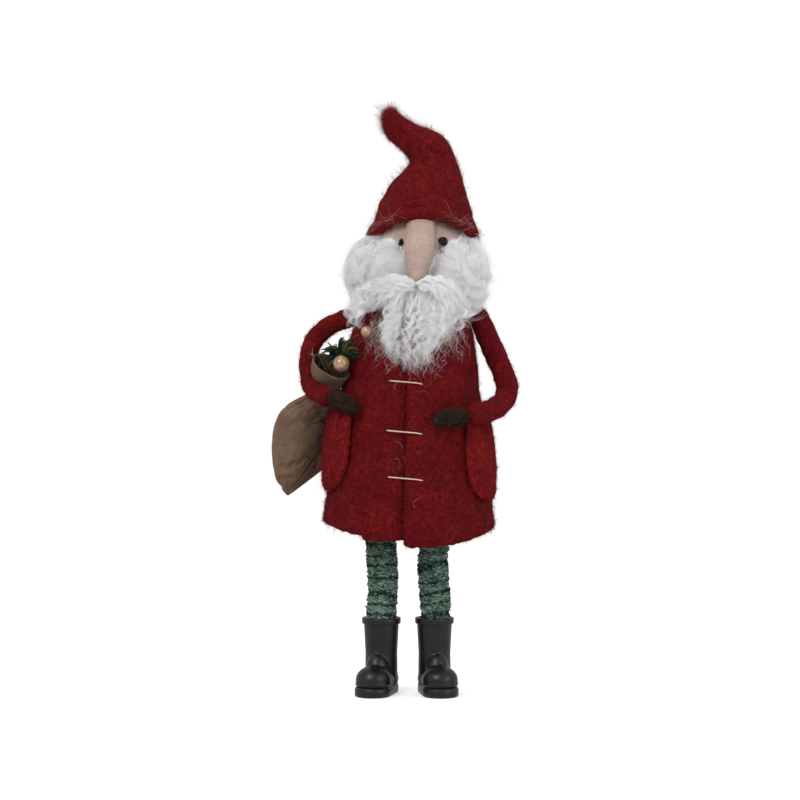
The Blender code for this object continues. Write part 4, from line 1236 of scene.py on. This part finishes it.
def boot_sole():
    """The sole: a rounded slab with a fine welt line above it."""
    half, toe, heel, height = 6.45, -9.6, 1.2, 3.5
    corner = 0.7
    levels = (
        (corner, 0.0),
        (0.15, 0.25),
        (0.0, corner),
        (0.0, height - corner),
        (0.18, height - 0.3),
        (0.8, height),
    )
    rings = []
    steps = 40
    for inset, z in levels:
        ring = []
        for middle_y, size, start in ((toe, half, math.pi), (heel, half - 0.7, 0.0)):
            radius = size - inset
            for i in range(steps):
                angle = start + math.pi * i / (steps - 1)
                ring.append((radius * math.cos(angle), middle_y + radius * math.sin(angle), z))
        rings.append(ring)
    rings = np.array(rings)
    return rings.reshape(-1, 3), tube_faces(*rings.shape[:2])


# ---------------------------------------------------------------- sack and greenery

SACK_SECTIONS = (
    # middle, way of the width, half width, half depth; the bottom corner first
    ((-36.3, 8.6, 76.2), (0.70, 0.48, 0.53), 10.6, 1.3),
    ((-37.2, 8.8, 80.4), (0.72, 0.53, 0.44), 12.4, 4.4),
    ((-38.1, 8.6, 87.0), (0.75, 0.58, 0.30), 12.5, 6.7),
    ((-38.2, 7.6, 94.0), (0.79, 0.59, 0.18), 11.8, 6.7),
    ((-36.0, 5.6, 100.6), (0.82, 0.57, 0.06), 10.6, 5.4),
    ((-31.8, 3.0, 106.2), (0.86, 0.50, 0.0), 7.2, 4.3),
    ((-29.4, -1.2, 110.4), (0.95, 0.22, -0.20), 4.4, 4.0),
    ((-28.7, -4.8, 113.6), (0.90, 0.0, -0.43), 6.4, 4.3),
    ((-27.4, -8.8, 117.4), (0.87, 0.0, -0.49), 7.4, 4.7),
)
SACK_BODY = "arm_right_upper"
# The front seam's turn round the sack in degrees, at shares of the way from the bottom corner to the mouth.
SEAM_RISE = (0.0, 0.06, 0.13, 0.25, 0.375, 0.55, 1.0)
SEAM_TURNS = (180.0, 225.0, 258.0, 292.0, 315.0, 322.0, 330.0)
# A slanting crease where the cloth folds in under the neck: the X and height of a point on it, its slope.
SACK_CREASE = (-38.6, 101.8, 0.86)


def seam_turn(t):
    return np.radians(np.interp(t, SEAM_RISE, SEAM_TURNS))


# The cloth simulation runs on every fourth row and column, twenty times full size in metres.
SETTLE_STEP = 4
SETTLE_SCALE = 0.02
SETTLE_FRAMES = 20
SETTLE_MOST = 1.6
SETTLE_SINK = 0.4  # how far the cloth may go in towards the filling


def sack_grid():
    sections = [(*middle, *unit(np.array(width)), wide, deep) for middle, width, wide, deep in SACK_SECTIONS]
    table = smooth_route(sections, 24)
    middles, widths = table[:, :3], unit(table[:, 3:6])
    ahead = unit(np.gradient(middles, axis=0))
    depth_way = unit(np.cross(ahead, widths))
    sides = 200
    around = round_turns(sides)
    rows = len(table)
    t = np.linspace(0, 1, rows)[:, None]
    # A bag sewn from two flat pieces: lens-shaped sections with a crest at each side seam.
    crest = np.sign(np.cos(around)) * np.abs(np.cos(around)) ** 0.85
    belly = np.sign(np.sin(around)) * np.abs(np.sin(around)) ** 1.15
    gather = np.exp(-(((t - 0.7) / 0.14) ** 2))
    pleats = 1 + gather * 0.13 * np.sin(9 * around + 1.0) + 0.05 * gather * np.sin(17 * around)
    wide, deep = table[:, 6:7] * pleats, table[:, 7:8] * pleats
    grid = middles[:, None] + widths[:, None] * (crest * wide)[..., None]
    grid = grid + depth_way[:, None] * (belly * deep)[..., None]
    centre = grid.mean(axis=1, keepdims=True)
    flat = grid.reshape(-1, 3)
    bumps = rough(flat * (1.0, 1.0, 0.55), 6.5, 61.0, 2) * 0.75 + rough(flat, 2.4, 62.0, 2) * 0.12
    crease = grid[..., 2] - SACK_CREASE[1] - SACK_CREASE[2] * (grid[..., 0] - SACK_CREASE[0])
    across = np.clip(1 - np.abs(grid[..., 0] - SACK_CREASE[0]) / 6.0, 0, 1)
    across = across * (t < 0.68) * (grid[..., 1] < 6.0)
    fold = across * np.exp(-((np.clip(crease, 0, None) / 6.5) ** 2)) / (1 + np.exp(-crease / 0.35))
    ridge = across * np.exp(-(((crease + 1.2) / 1.0) ** 2))
    away = np.abs((around - seam_turn(t) + math.pi) % TAU - math.pi) * wide * 0.8
    seam = np.exp(-((away / 0.55) ** 2)) + 0.4 * np.exp(-((away / 2.4) ** 2))
    seam = seam * np.clip((0.62 - t) * 12, 0, 1)
    calm = np.clip(t * 6, 0.2, 1) * np.clip((1 - t) * 9, 0.15, 1)
    bumps = bumps.reshape(rows, sides) * calm - 2.0 * fold + 0.7 * ridge - 0.9 * seam
    grid = grid + unit(grid - centre) * bumps[..., None]
    return grid, centre


def settle_cloth(grid):
    """Lets the sack's cloth settle by simulation: the filling presses out, and the spare cloth puckers
    where the seam, the neck and the mouth hold it. Returns the grid with the movement added."""
    coarse = grid[::SETTLE_STEP, ::SETTLE_STEP]
    rows, sides = coarse.shape[:2]
    flat = coarse.reshape(-1, 3)
    faces = grid_faces(rows, sides, closed=True).tolist() + [list(range(sides))[::-1]]
    mesh = bpy.data.meshes.new("sack_trial")
    mesh.from_pydata((flat * SETTLE_SCALE).tolist(), [], faces)
    trial = place_object("sack_trial", mesh)
    t = np.linspace(0, 1, rows)[:, None]
    around = round_turns(sides)
    near_seam = np.abs((around - seam_turn(t) + math.pi) % TAU - math.pi) < 0.08
    held = near_seam | (t > 0.6) | (t < 0.07)
    pins = trial.vertex_groups.new(name="pins")
    pins.add(np.flatnonzero(held.reshape(-1)).tolist(), 1.0, "REPLACE")
    cloth = trial.modifiers.new("cloth", "CLOTH")
    cloth.settings.quality = 8
    cloth.settings.mass = 0.2
    cloth.settings.tension_stiffness = 12
    cloth.settings.compression_stiffness = 12
    cloth.settings.shear_stiffness = 5
    cloth.settings.bending_stiffness = 0.2
    cloth.settings.shrink_min = -0.06
    cloth.settings.use_pressure = True
    cloth.settings.uniform_pressure_force = 1.5
    cloth.settings.effector_weights.gravity = 0
    cloth.settings.vertex_group_mass = "pins"
    cloth.collision_settings.use_collision = False
    for step in range(1, SETTLE_FRAMES + 1):
        bpy.context.scene.frame_set(step)
    settled, _ = mesh_verts(trial)
    bpy.context.scene.frame_set(1)
    moved = settled / SETTLE_SCALE - flat
    outward = unit(coarse - coarse.mean(axis=1, keepdims=True)).reshape(-1, 3)
    sink = np.sum(moved * outward, axis=1, keepdims=True)
    moved = moved - outward * np.minimum(sink + SETTLE_SINK, 0)
    size = np.linalg.norm(moved, axis=1, keepdims=True)
    moved = (moved * np.minimum(1, SETTLE_MOST / np.maximum(size, 1e-6))).reshape(rows, sides, 3)
    moved = np.concatenate([moved, moved[:, :1]], axis=1)
    row = np.arange(grid.shape[0]) / SETTLE_STEP
    column = np.arange(grid.shape[1]) / SETTLE_STEP
    low_row = np.minimum(row.astype(int), rows - 2)
    low_column = column.astype(int)
    f, g = (row - low_row)[:, None, None], (column - low_column)[None, :, None]
    corners = [moved[low_row + i][:, low_column + k] for i in (0, 1) for k in (0, 1)]
    spread = (corners[0] * (1 - g) + corners[1] * g) * (1 - f) + (corners[2] * (1 - g) + corners[3] * g) * f
    return grid + spread


def build_sack(cloth, shade_and_seam_cloth, thread):
    grid, centre = sack_grid()
    grid = settle_cloth(grid)
    rows, sides = grid.shape[:2]
    inset = 0.7
    inner = grid - unit(grid - centre) * inset
    start = int(rows * 0.62)
    rim = (grid[-1] + inner[-1]) / 2 + unit(grid[-1] - grid[-2]) * 0.3
    rings = np.concatenate([grid, rim[None], inner[start:][::-1]])
    # The inside faces from the mouth down take a darker copy of the sack cloth: painted shade inside the
    # sack. The stitched seam below takes the same darker cloth for its seam line.
    piece = closed_tube("cloth_sack", rings, [cloth, shade_and_seam_cloth], SACK_BODY)
    shade = np.zeros(len(piece.data.polygons), np.int32)
    shade[rows * sides:] = 1
    piece.data.polygons.foreach_set("material_index", shade)
    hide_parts("sack")
    # The seam's stitched edge, and a loose thread at the mouth's corner.
    level = np.arange(3, int(rows * 0.6))
    column = (np.round(seam_turn(level / (rows - 1)) / TAU * sides).astype(int) + 1) % sides
    edge = grid[level, column] + unit(grid - centre)[level, column] * 0.1
    closed_tube("sack_seam", tube_grid(edge, 0.22 * round_ends(len(edge)), 8), shade_and_seam_cloth, SACK_BODY)
    corner = grid[-1, int(sides * 0.5)]
    rng = np.random.default_rng(131)
    paths = []
    for _ in range(4):
        way = unit(np.array([-0.5, -0.5, 1.0]) + rng.normal(0, 0.5, 3))
        s = np.linspace(0, 1, 14)[:, None]
        straight = corner + way * s * rng.uniform(1.5, 3.6)
        paths.append(straight + curl(rng, 1, 14, 4.0, 0.03)[0])
    fibre_mesh("sack_loose_threads", np.array(paths), 0.05, thread, SACK_BODY, rng)


LEAF_HEART = np.array((-24.4, -11.4, 120.6))
LEAVES = 46


def make_leaves(material_sets):
    """Short pointed blades that spring out of the sack's mouth, each folded a little along its middle."""
    rng = np.random.default_rng(141)
    verts, faces, shade = [], [], []
    start = 0
    for _ in range(LEAVES):
        heading = rng.uniform(-0.35, math.pi + 0.45)
        reach = rng.uniform(4.6, 9.6) * (1.0 if heading < 1.9 else 0.8)
        out = np.array((math.cos(heading), rng.uniform(-0.75, 0.1), math.sin(heading)))
        root = LEAF_HEART + rng.normal(0, 0.9, 3)
        tip = root + out * reach + (0, 0, -1.2)
        bend = (root + tip) / 2 + (0, -0.5, 1.6) + rng.normal(0, 0.4, 3)
        route = smooth_route((root, bend, tip), 7)[:14]
        s = np.linspace(0, 1, len(route))
        width = rng.uniform(0.34, 0.62) * np.sin(math.pi * np.clip(0.1 + 0.88 * s, 0, 1)) ** 0.8
        ahead = unit(np.gradient(route, axis=0))
        level = unit(np.cross(ahead, unit(rng.normal(size=3) * 0.5 + (0, -1, 0.3))))
        up = np.cross(level, ahead)
        cross = np.linspace(-1, 1, 5)
        top = route[:, None] + level[:, None] * (cross[None, :] * width[:, None])[..., None]
        top = top + up[:, None] * ((np.abs(cross)[None, :] * width[:, None]) * 0.45)[..., None]
        under = top - up[:, None] * 0.07
        blade = np.concatenate([top, under[:, ::-1]], axis=1)
        rows, sides = blade.shape[:2]
        verts.append(blade.reshape(-1, 3))
        made = tube_faces(rows, sides, start)
        faces += made
        shade += [int(rng.integers(0, len(material_sets)))] * len(made)
        start += rows * sides
    piece = add_piece("greenery_leaves", np.vstack(verts), faces, material_sets, SACK_BODY, shade)
    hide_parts("leaf_sprig_1", "leaf_sprig_2", "leaf_sprig_3")


def make_twigs(material):
    """Bare straw-coloured twigs that stand in the sack's mouth."""
    rng = np.random.default_rng(151)
    for i in range(5):
        foot = np.array((-28.4 + 0.6 * i, -7.6, 115.8)) + rng.normal(0, 0.3, 3)
        tip = np.array((-32.2 + 1.9 * i, -10.4, 121.2 - 0.4 * abs(i - 1))) + rng.normal(0, 0.4, 3)
        middle = (foot + tip) / 2 + rng.normal(0, 0.4, 3)
        rings = tube_grid(smooth_route((foot, middle, tip), 8), rng.uniform(0.1, 0.17) * round_ends(17), 8)
        closed_tube(f"twig_{i + 1}", rings, material, SACK_BODY)


def make_berries(pearl, stem):
    """Pearl berries a little out of round, on the frame's own stems."""
    for name in ("large", "small"):
        low, high = local_box(f"berry_{name}")
        middle, radius = (low + high) / 2, (high[2] - low[2]) / 2
        normals = ball_normals(40, 48, 0.02)
        grid = roughened(middle + normals * radius, normals, ((1.6, 71.0, 2, 0.07),))
        berry = closed_tube(f"pearl_berry_{name}", grid, pearl, SACK_BODY)
        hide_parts(f"berry_{name}")
        cad_material(f"berry_stem_{name}", stem)


# Height, then from X to X.
TOGGLES = {"upper": (112.2, -6.6, 4.9), "middle": (94.8, -7.6, 4.9), "lower": (78.6, -7.0, 5.2)}
TOGGLE_SLOPE = -0.09


def make_toggles(material):
    """Two-ply waxed thread laid across the opening, with its ends sunk in the felt."""
    for name, (height, x0, x1) in TOGGLES.items():
        steps = 60
        s = np.linspace(0, 1, steps)
        x = x0 + (x1 - x0) * s
        level = height + TOGGLE_SLOPE * (x - x0) - 0.7 * np.clip(s - 0.82, 0, 1) * 5 * 0.4
        half, middle = coat_size(level)
        turn = np.arcsin((x - middle) / half)
        sink = 1.1 * np.clip(1 - np.minimum(s, 1 - s) * 16, 0, 1)
        route = on_coat(turn, level, 1.0 - sink)
        up = np.array([0.0, 0.0, 1.0])
        out = unit(np.cross(unit(np.gradient(route, axis=0)), up))
        plies = []
        for ply in range(2):
            phase = TAU * s * 9 + math.pi * ply
            path = route + 0.12 * (np.cos(phase)[:, None] * up + np.sin(phase)[:, None] * out)
            rings = tube_grid(path, np.full(steps, 0.155), 8)
            plies.append((rings.reshape(-1, 3), tube_faces(steps, 8)))
        verts, faces = joined(plies)
        piece = add_piece(f"thread_toggle_{name}", verts, faces, material, "figure")
        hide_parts(f"toggle_{name}")


# ---------------------------------------------------------------- stage

SKY = 0.62
FLOOR_GLOW = 0.5
LAMPS = (
    # name, place, watts, size
    ("key", (-0.45, -0.75, 0.75), 4.6, 0.5),
    ("fill", (0.7, -0.6, 0.35), 2.0, 0.6),
    ("top", (0.0, 0.1, 0.9), 1.4, 0.6),
)
LAMP_AIM = Vector((0.0, 0.0, 0.11))


def make_stage():
    """A pale floor that curves up into a round backdrop, under an even sky and three soft lamps."""
    profile = [(0.01, 0.0), (1.5, 0.0)]
    profile += [(1.5 + math.sin(a), 1 - math.cos(a)) for a in np.linspace(0.1, math.pi / 2, 12)]
    profile.append((2.5, 3.0))
    sides = 96
    mesh = bpy.data.meshes.new("floor")
    mesh.from_pydata(turned(profile, sides).tolist(), [], tube_faces(len(profile), sides)[:-1])
    mesh.polygons.foreach_set("use_smooth", np.ones(len(mesh.polygons), bool))
    floor = place_object("floor", mesh)
    pale = Nodes("floor_white", 0.95)
    pale.colour(pale.ramp(pale.noise(0.004, 2.0), ((0.3, (0.80, 0.80, 0.80)), (0.7, (0.82, 0.82, 0.82)))))
    pale.shader.inputs["Emission Color"].default_value = (1.0, 1.0, 1.0, 1.0)
    pale.shader.inputs["Emission Strength"].default_value = FLOOR_GLOW
    mesh.materials.append(pale.material)
    floor.visible_diffuse = floor.visible_glossy = floor.visible_shadow = False
    bpy.context.scene.view_settings.view_transform = "Standard"
    world = bpy.data.worlds.new("studio")
    bpy.context.scene.world = world
    world.use_nodes = True
    world.node_tree.nodes["Background"].inputs["Color"].default_value = (1.0, 1.0, 1.0, 1.0)
    world.node_tree.nodes["Background"].inputs["Strength"].default_value = SKY
    for name, spot, power, size in LAMPS:
        light = bpy.data.lights.new(name, "AREA")
        light.energy = power
        light.size = size
        lamp = place_object(name, light)
        lamp.location = spot
        aim = LAMP_AIM - Vector(spot)
        lamp.rotation_euler = aim.to_track_quat("-Z", "Y").to_euler()


CAMERA_DISTANCE = 750.0
CAMERA_PLACE = (-2.9, -CAMERA_DISTANCE, 105.4)
CAMERA_LENS = 93.75


def make_camera():
    data = bpy.data.cameras.new("camera")
    data.lens = CAMERA_LENS
    data.sensor_width = 36.0
    data.clip_start = 0.01
    camera = place_object("camera", data)
    camera.location = mm(CAMERA_PLACE)
    camera.rotation_euler = (math.pi / 2, 0.0, 0.0)
    bpy.context.scene.camera = camera


# ---------------------------------------------------------------- all of it


def main():
    make_camera()
    make_stage()
    red = felt_material("red_felt", RED, RED_DARK, RED_WARM)
    # The pockets take a lighter copy of the coat's red felt: painted light on the pockets.
    lightened_pocket_colours = ((0.25, 0.0075, 0.012), (0.14, 0.005, 0.009), (0.34, 0.017, 0.013))
    lightened_pocket_red = felt_material("lightened_pocket_felt", *lightened_pocket_colours)
    red_fibres = shades("red_fibre", ((0.09, 0.003, 0.006), RED, RED_WARM, (0.14, 0.005, 0.009),
                                      (0.32, 0.02, 0.02), (0.27, 0.03, 0.032)))
    skin = felt_material("skin_felt", (0.69, 0.50, 0.42), (0.60, 0.42, 0.35), (0.74, 0.57, 0.50), fleck=1.4,
                         clump=(0.9, 1.05))
    skin_fibres = shades("skin_fibre", ((0.72, 0.54, 0.46), (0.80, 0.66, 0.6), (0.64, 0.45, 0.37)))
    brown = felt_material("mitten_felt", (0.034, 0.018, 0.013), (0.014, 0.008, 0.006), (0.05, 0.027, 0.02))
    brown_fibres = shades("mitten_fibre", ((0.036, 0.02, 0.015), (0.06, 0.035, 0.027), (0.02, 0.012, 0.009)))
    dark = felt_material("eye_felt", (0.028, 0.027, 0.016), (0.008, 0.008, 0.005), (0.05, 0.045, 0.025))
    dark_fibres = shades("eye_fibre", ((0.03, 0.028, 0.018), (0.06, 0.05, 0.035)))
    cushion = felt_material("wool_mass", (0.88, 0.875, 0.87), (0.78, 0.77, 0.76), (0.93, 0.93, 0.93),
                            fleck=0.6, clump=(0.95, 1.0))
    # The dense wool glows a little too: painted light for light scattered between the fibres.
    shader = cushion.node_tree.nodes["Principled BSDF"]
    shader.inputs["Emission Color"].default_value = (0.9, 0.9, 0.9, 1.0)
    shader.inputs["Emission Strength"].default_value = WOOL_GLOW
    wool = shades("wool_strand", ((0.93, 0.93, 0.94), (0.90, 0.90, 0.91), (0.96, 0.96, 0.96),
                                  (0.87, 0.87, 0.89)), glow=WOOL_GLOW)
    pale = shades("stray_strand", ((0.5, 0.36, 0.33), (0.7, 0.62, 0.6)))
    make_coat(red, red_fibres)
    for side in SIGN:
        make_pocket(side, lightened_pocket_red, red_fibres[1:])
        make_arm(side, red, red_fibres, brown, brown_fibres)
    outer = make_hat(red, red_fibres)
    make_head(skin, skin_fibres, dark, dark_fibres, wool)
    make_beard(cushion, wool, pale)
    for side in SIGN:
        make_side_hair(side, cushion, wool)
    make_back_hair(cushion, wool)
    make_cheeks(cushion, wool)
    make_stray_fibres(pale)
    make_brim_fibres(outer, pale)
    make_legs_and_boots()
    make_sack_and_greenery(pale)
    make_toggles(thread_material())
    make_inner_parts()


def knit_material():
    nodes = Nodes("knit_green", 0.95, sheen=0.2)
    body = nodes.ramp(nodes.noise(0.5, 4.0, 0.7), ((0.4, (0.04, 0.075, 0.056)), (0.58, (0.15, 0.24, 0.19))))
    nodes.colour(body)
    nodes.bump(nodes.noise(1.4, 3.0, 0.7), 0.9, 0.4)
    return nodes.material


def boot_material():
    nodes = Nodes("boot_black", 0.42)
    nodes.shader.inputs["Specular IOR Level"].default_value = 0.42
    blacks = ((0.35, (0.005, 0.005, 0.007)), (0.7, (0.010, 0.010, 0.014)))
    nodes.colour(nodes.ramp(nodes.noise(0.25, 4.0), blacks))
    nodes.roughness(nodes.noise(0.8, 5.0, 0.7), 0.26, 0.44)
    nodes.bump(nodes.noise(0.9, 4.0, 0.6), 0.25, 0.08)
    return nodes.material


def cloth_material(name, light, dark):
    nodes = Nodes(name, 0.92, sheen=0.12)
    warp, weft = (nodes.ramp(nodes.wave(0.75, way), ((0.0, (0, 0, 0)), (1.0, (1, 1, 1)))) for way in "XZ")
    weave = nodes.mix(0.5, warp, weft)
    tone = nodes.ramp(nodes.noise(0.2, 5.0, 0.7), ((0.35, dark), (0.65, light)))
    nodes.colour(nodes.mix(0.35, tone, weave, "MULTIPLY"))
    nodes.bump(weave, 0.5, 0.12)
    return nodes.material


def thread_material():
    nodes = Nodes("toggle_thread", 0.6)
    nodes.colour(nodes.ramp(nodes.noise(1.5, 3.0), ((0.3, (0.62, 0.42, 0.27)), (0.65, (0.86, 0.70, 0.53)))))
    nodes.bump(nodes.noise(3.0, 2.0), 0.4, 0.05)
    return nodes.material


def pearl_material():
    nodes = Nodes("berry_pearl", 0.3, coat=0.3)
    nodes.shader.inputs["Metallic"].default_value = 0.35
    nodes.shader.inputs["Specular IOR Level"].default_value = 0.5
    nodes.colour(nodes.ramp(nodes.noise(0.5, 4.0), ((0.35, (0.36, 0.20, 0.105)), (0.65, (0.56, 0.37, 0.23)))))
    nodes.bump(nodes.noise(1.5, 3.0), 0.2, 0.08)
    return nodes.material


def leaf_material(name, light, dark):
    nodes = Nodes(name, 0.6)
    nodes.colour(nodes.ramp(nodes.noise(0.4, 3.0), ((0.35, dark), (0.68, light))))
    nodes.bump(nodes.noise(1.2, 3.0, stretch=(1, 1, 0.2)), 0.4, 0.1)
    return nodes.material


def make_legs_and_boots():
    knit = knit_material()
    yarns = {
        "mid": shades("yarn_mid", ((0.15, 0.245, 0.19), (0.09, 0.16, 0.125), (0.22, 0.34, 0.275))),
        "dark": shades("yarn_dark", ((0.010, 0.032, 0.022), (0.02, 0.05, 0.036))),
        "white": shades("yarn_white", ((0.7, 0.76, 0.72), (0.5, 0.6, 0.55))),
    }
    boot = boot_material()
    core = felt_material("leg_felt", (0.30, 0.18, 0.14), (0.2, 0.11, 0.08), (0.38, 0.25, 0.2))
    for side in SIGN:
        make_stocking(side, knit, yarns)
        make_boot(side, boot)
        cad_material(f"leg_{side}", core)
    cad_material("body_core", core)


def make_sack_and_greenery(pale):
    cloth = cloth_material("sack_cloth", (0.235, 0.145, 0.092), (0.165, 0.10, 0.063))
    # A darker copy of the sack cloth: painted shade for the sack's inside, and the seam's colour.
    shade_and_seam_cloth = cloth_material("sack_shade_and_seam_cloth", (0.14, 0.088, 0.057), (0.09, 0.056, 0.036))
    build_sack(cloth, shade_and_seam_cloth, pale)
    make_leaves([
        leaf_material("leaf_dark", (0.02, 0.035, 0.018), (0.008, 0.015, 0.009)),
        leaf_material("leaf_olive", (0.10, 0.12, 0.05), (0.04, 0.05, 0.022)),
        leaf_material("leaf_deep", (0.012, 0.03, 0.018), (0.005, 0.012, 0.008)),
    ])
    stem = leaf_material("stem_brown", (0.12, 0.06, 0.03), (0.06, 0.03, 0.015))
    make_berries(pearl_material(), stem)
    make_twigs(leaf_material("twig_straw", (0.36, 0.25, 0.14), (0.2, 0.13, 0.07)))


def make_inner_parts():
    """Finishes for the pieces inside, which show only if the figure is taken apart."""
    wire = Nodes("inner_wire", 0.4)
    wire.shader.inputs["Metallic"].default_value = 1.0
    wire.colour(wire.ramp(wire.noise(0.8, 3.0), ((0.3, (0.32, 0.32, 0.33)), (0.7, (0.5, 0.5, 0.51)))))
    wood = Nodes("inner_wood", 0.7)
    grain = wood.noise(0.4, 4.0, stretch=(1, 1, 0.1))
    wood.colour(wood.ramp(grain, ((0.3, (0.38, 0.22, 0.12)), (0.7, (0.55, 0.36, 0.22)))))
    wad = felt_material("inner_wadding", (0.5, 0.47, 0.42), (0.38, 0.35, 0.3), (0.58, 0.55, 0.5))
    for side in SIGN:
        for stretch in ("upper", "lower"):
            cad_material(f"arm_wire_{stretch}_{side}", wire.material)
    cad_material("shoulder_wire", wire.material)
    cad_material("neck_peg", wood.material)
    cad_material("sack_filling", wad)


main()
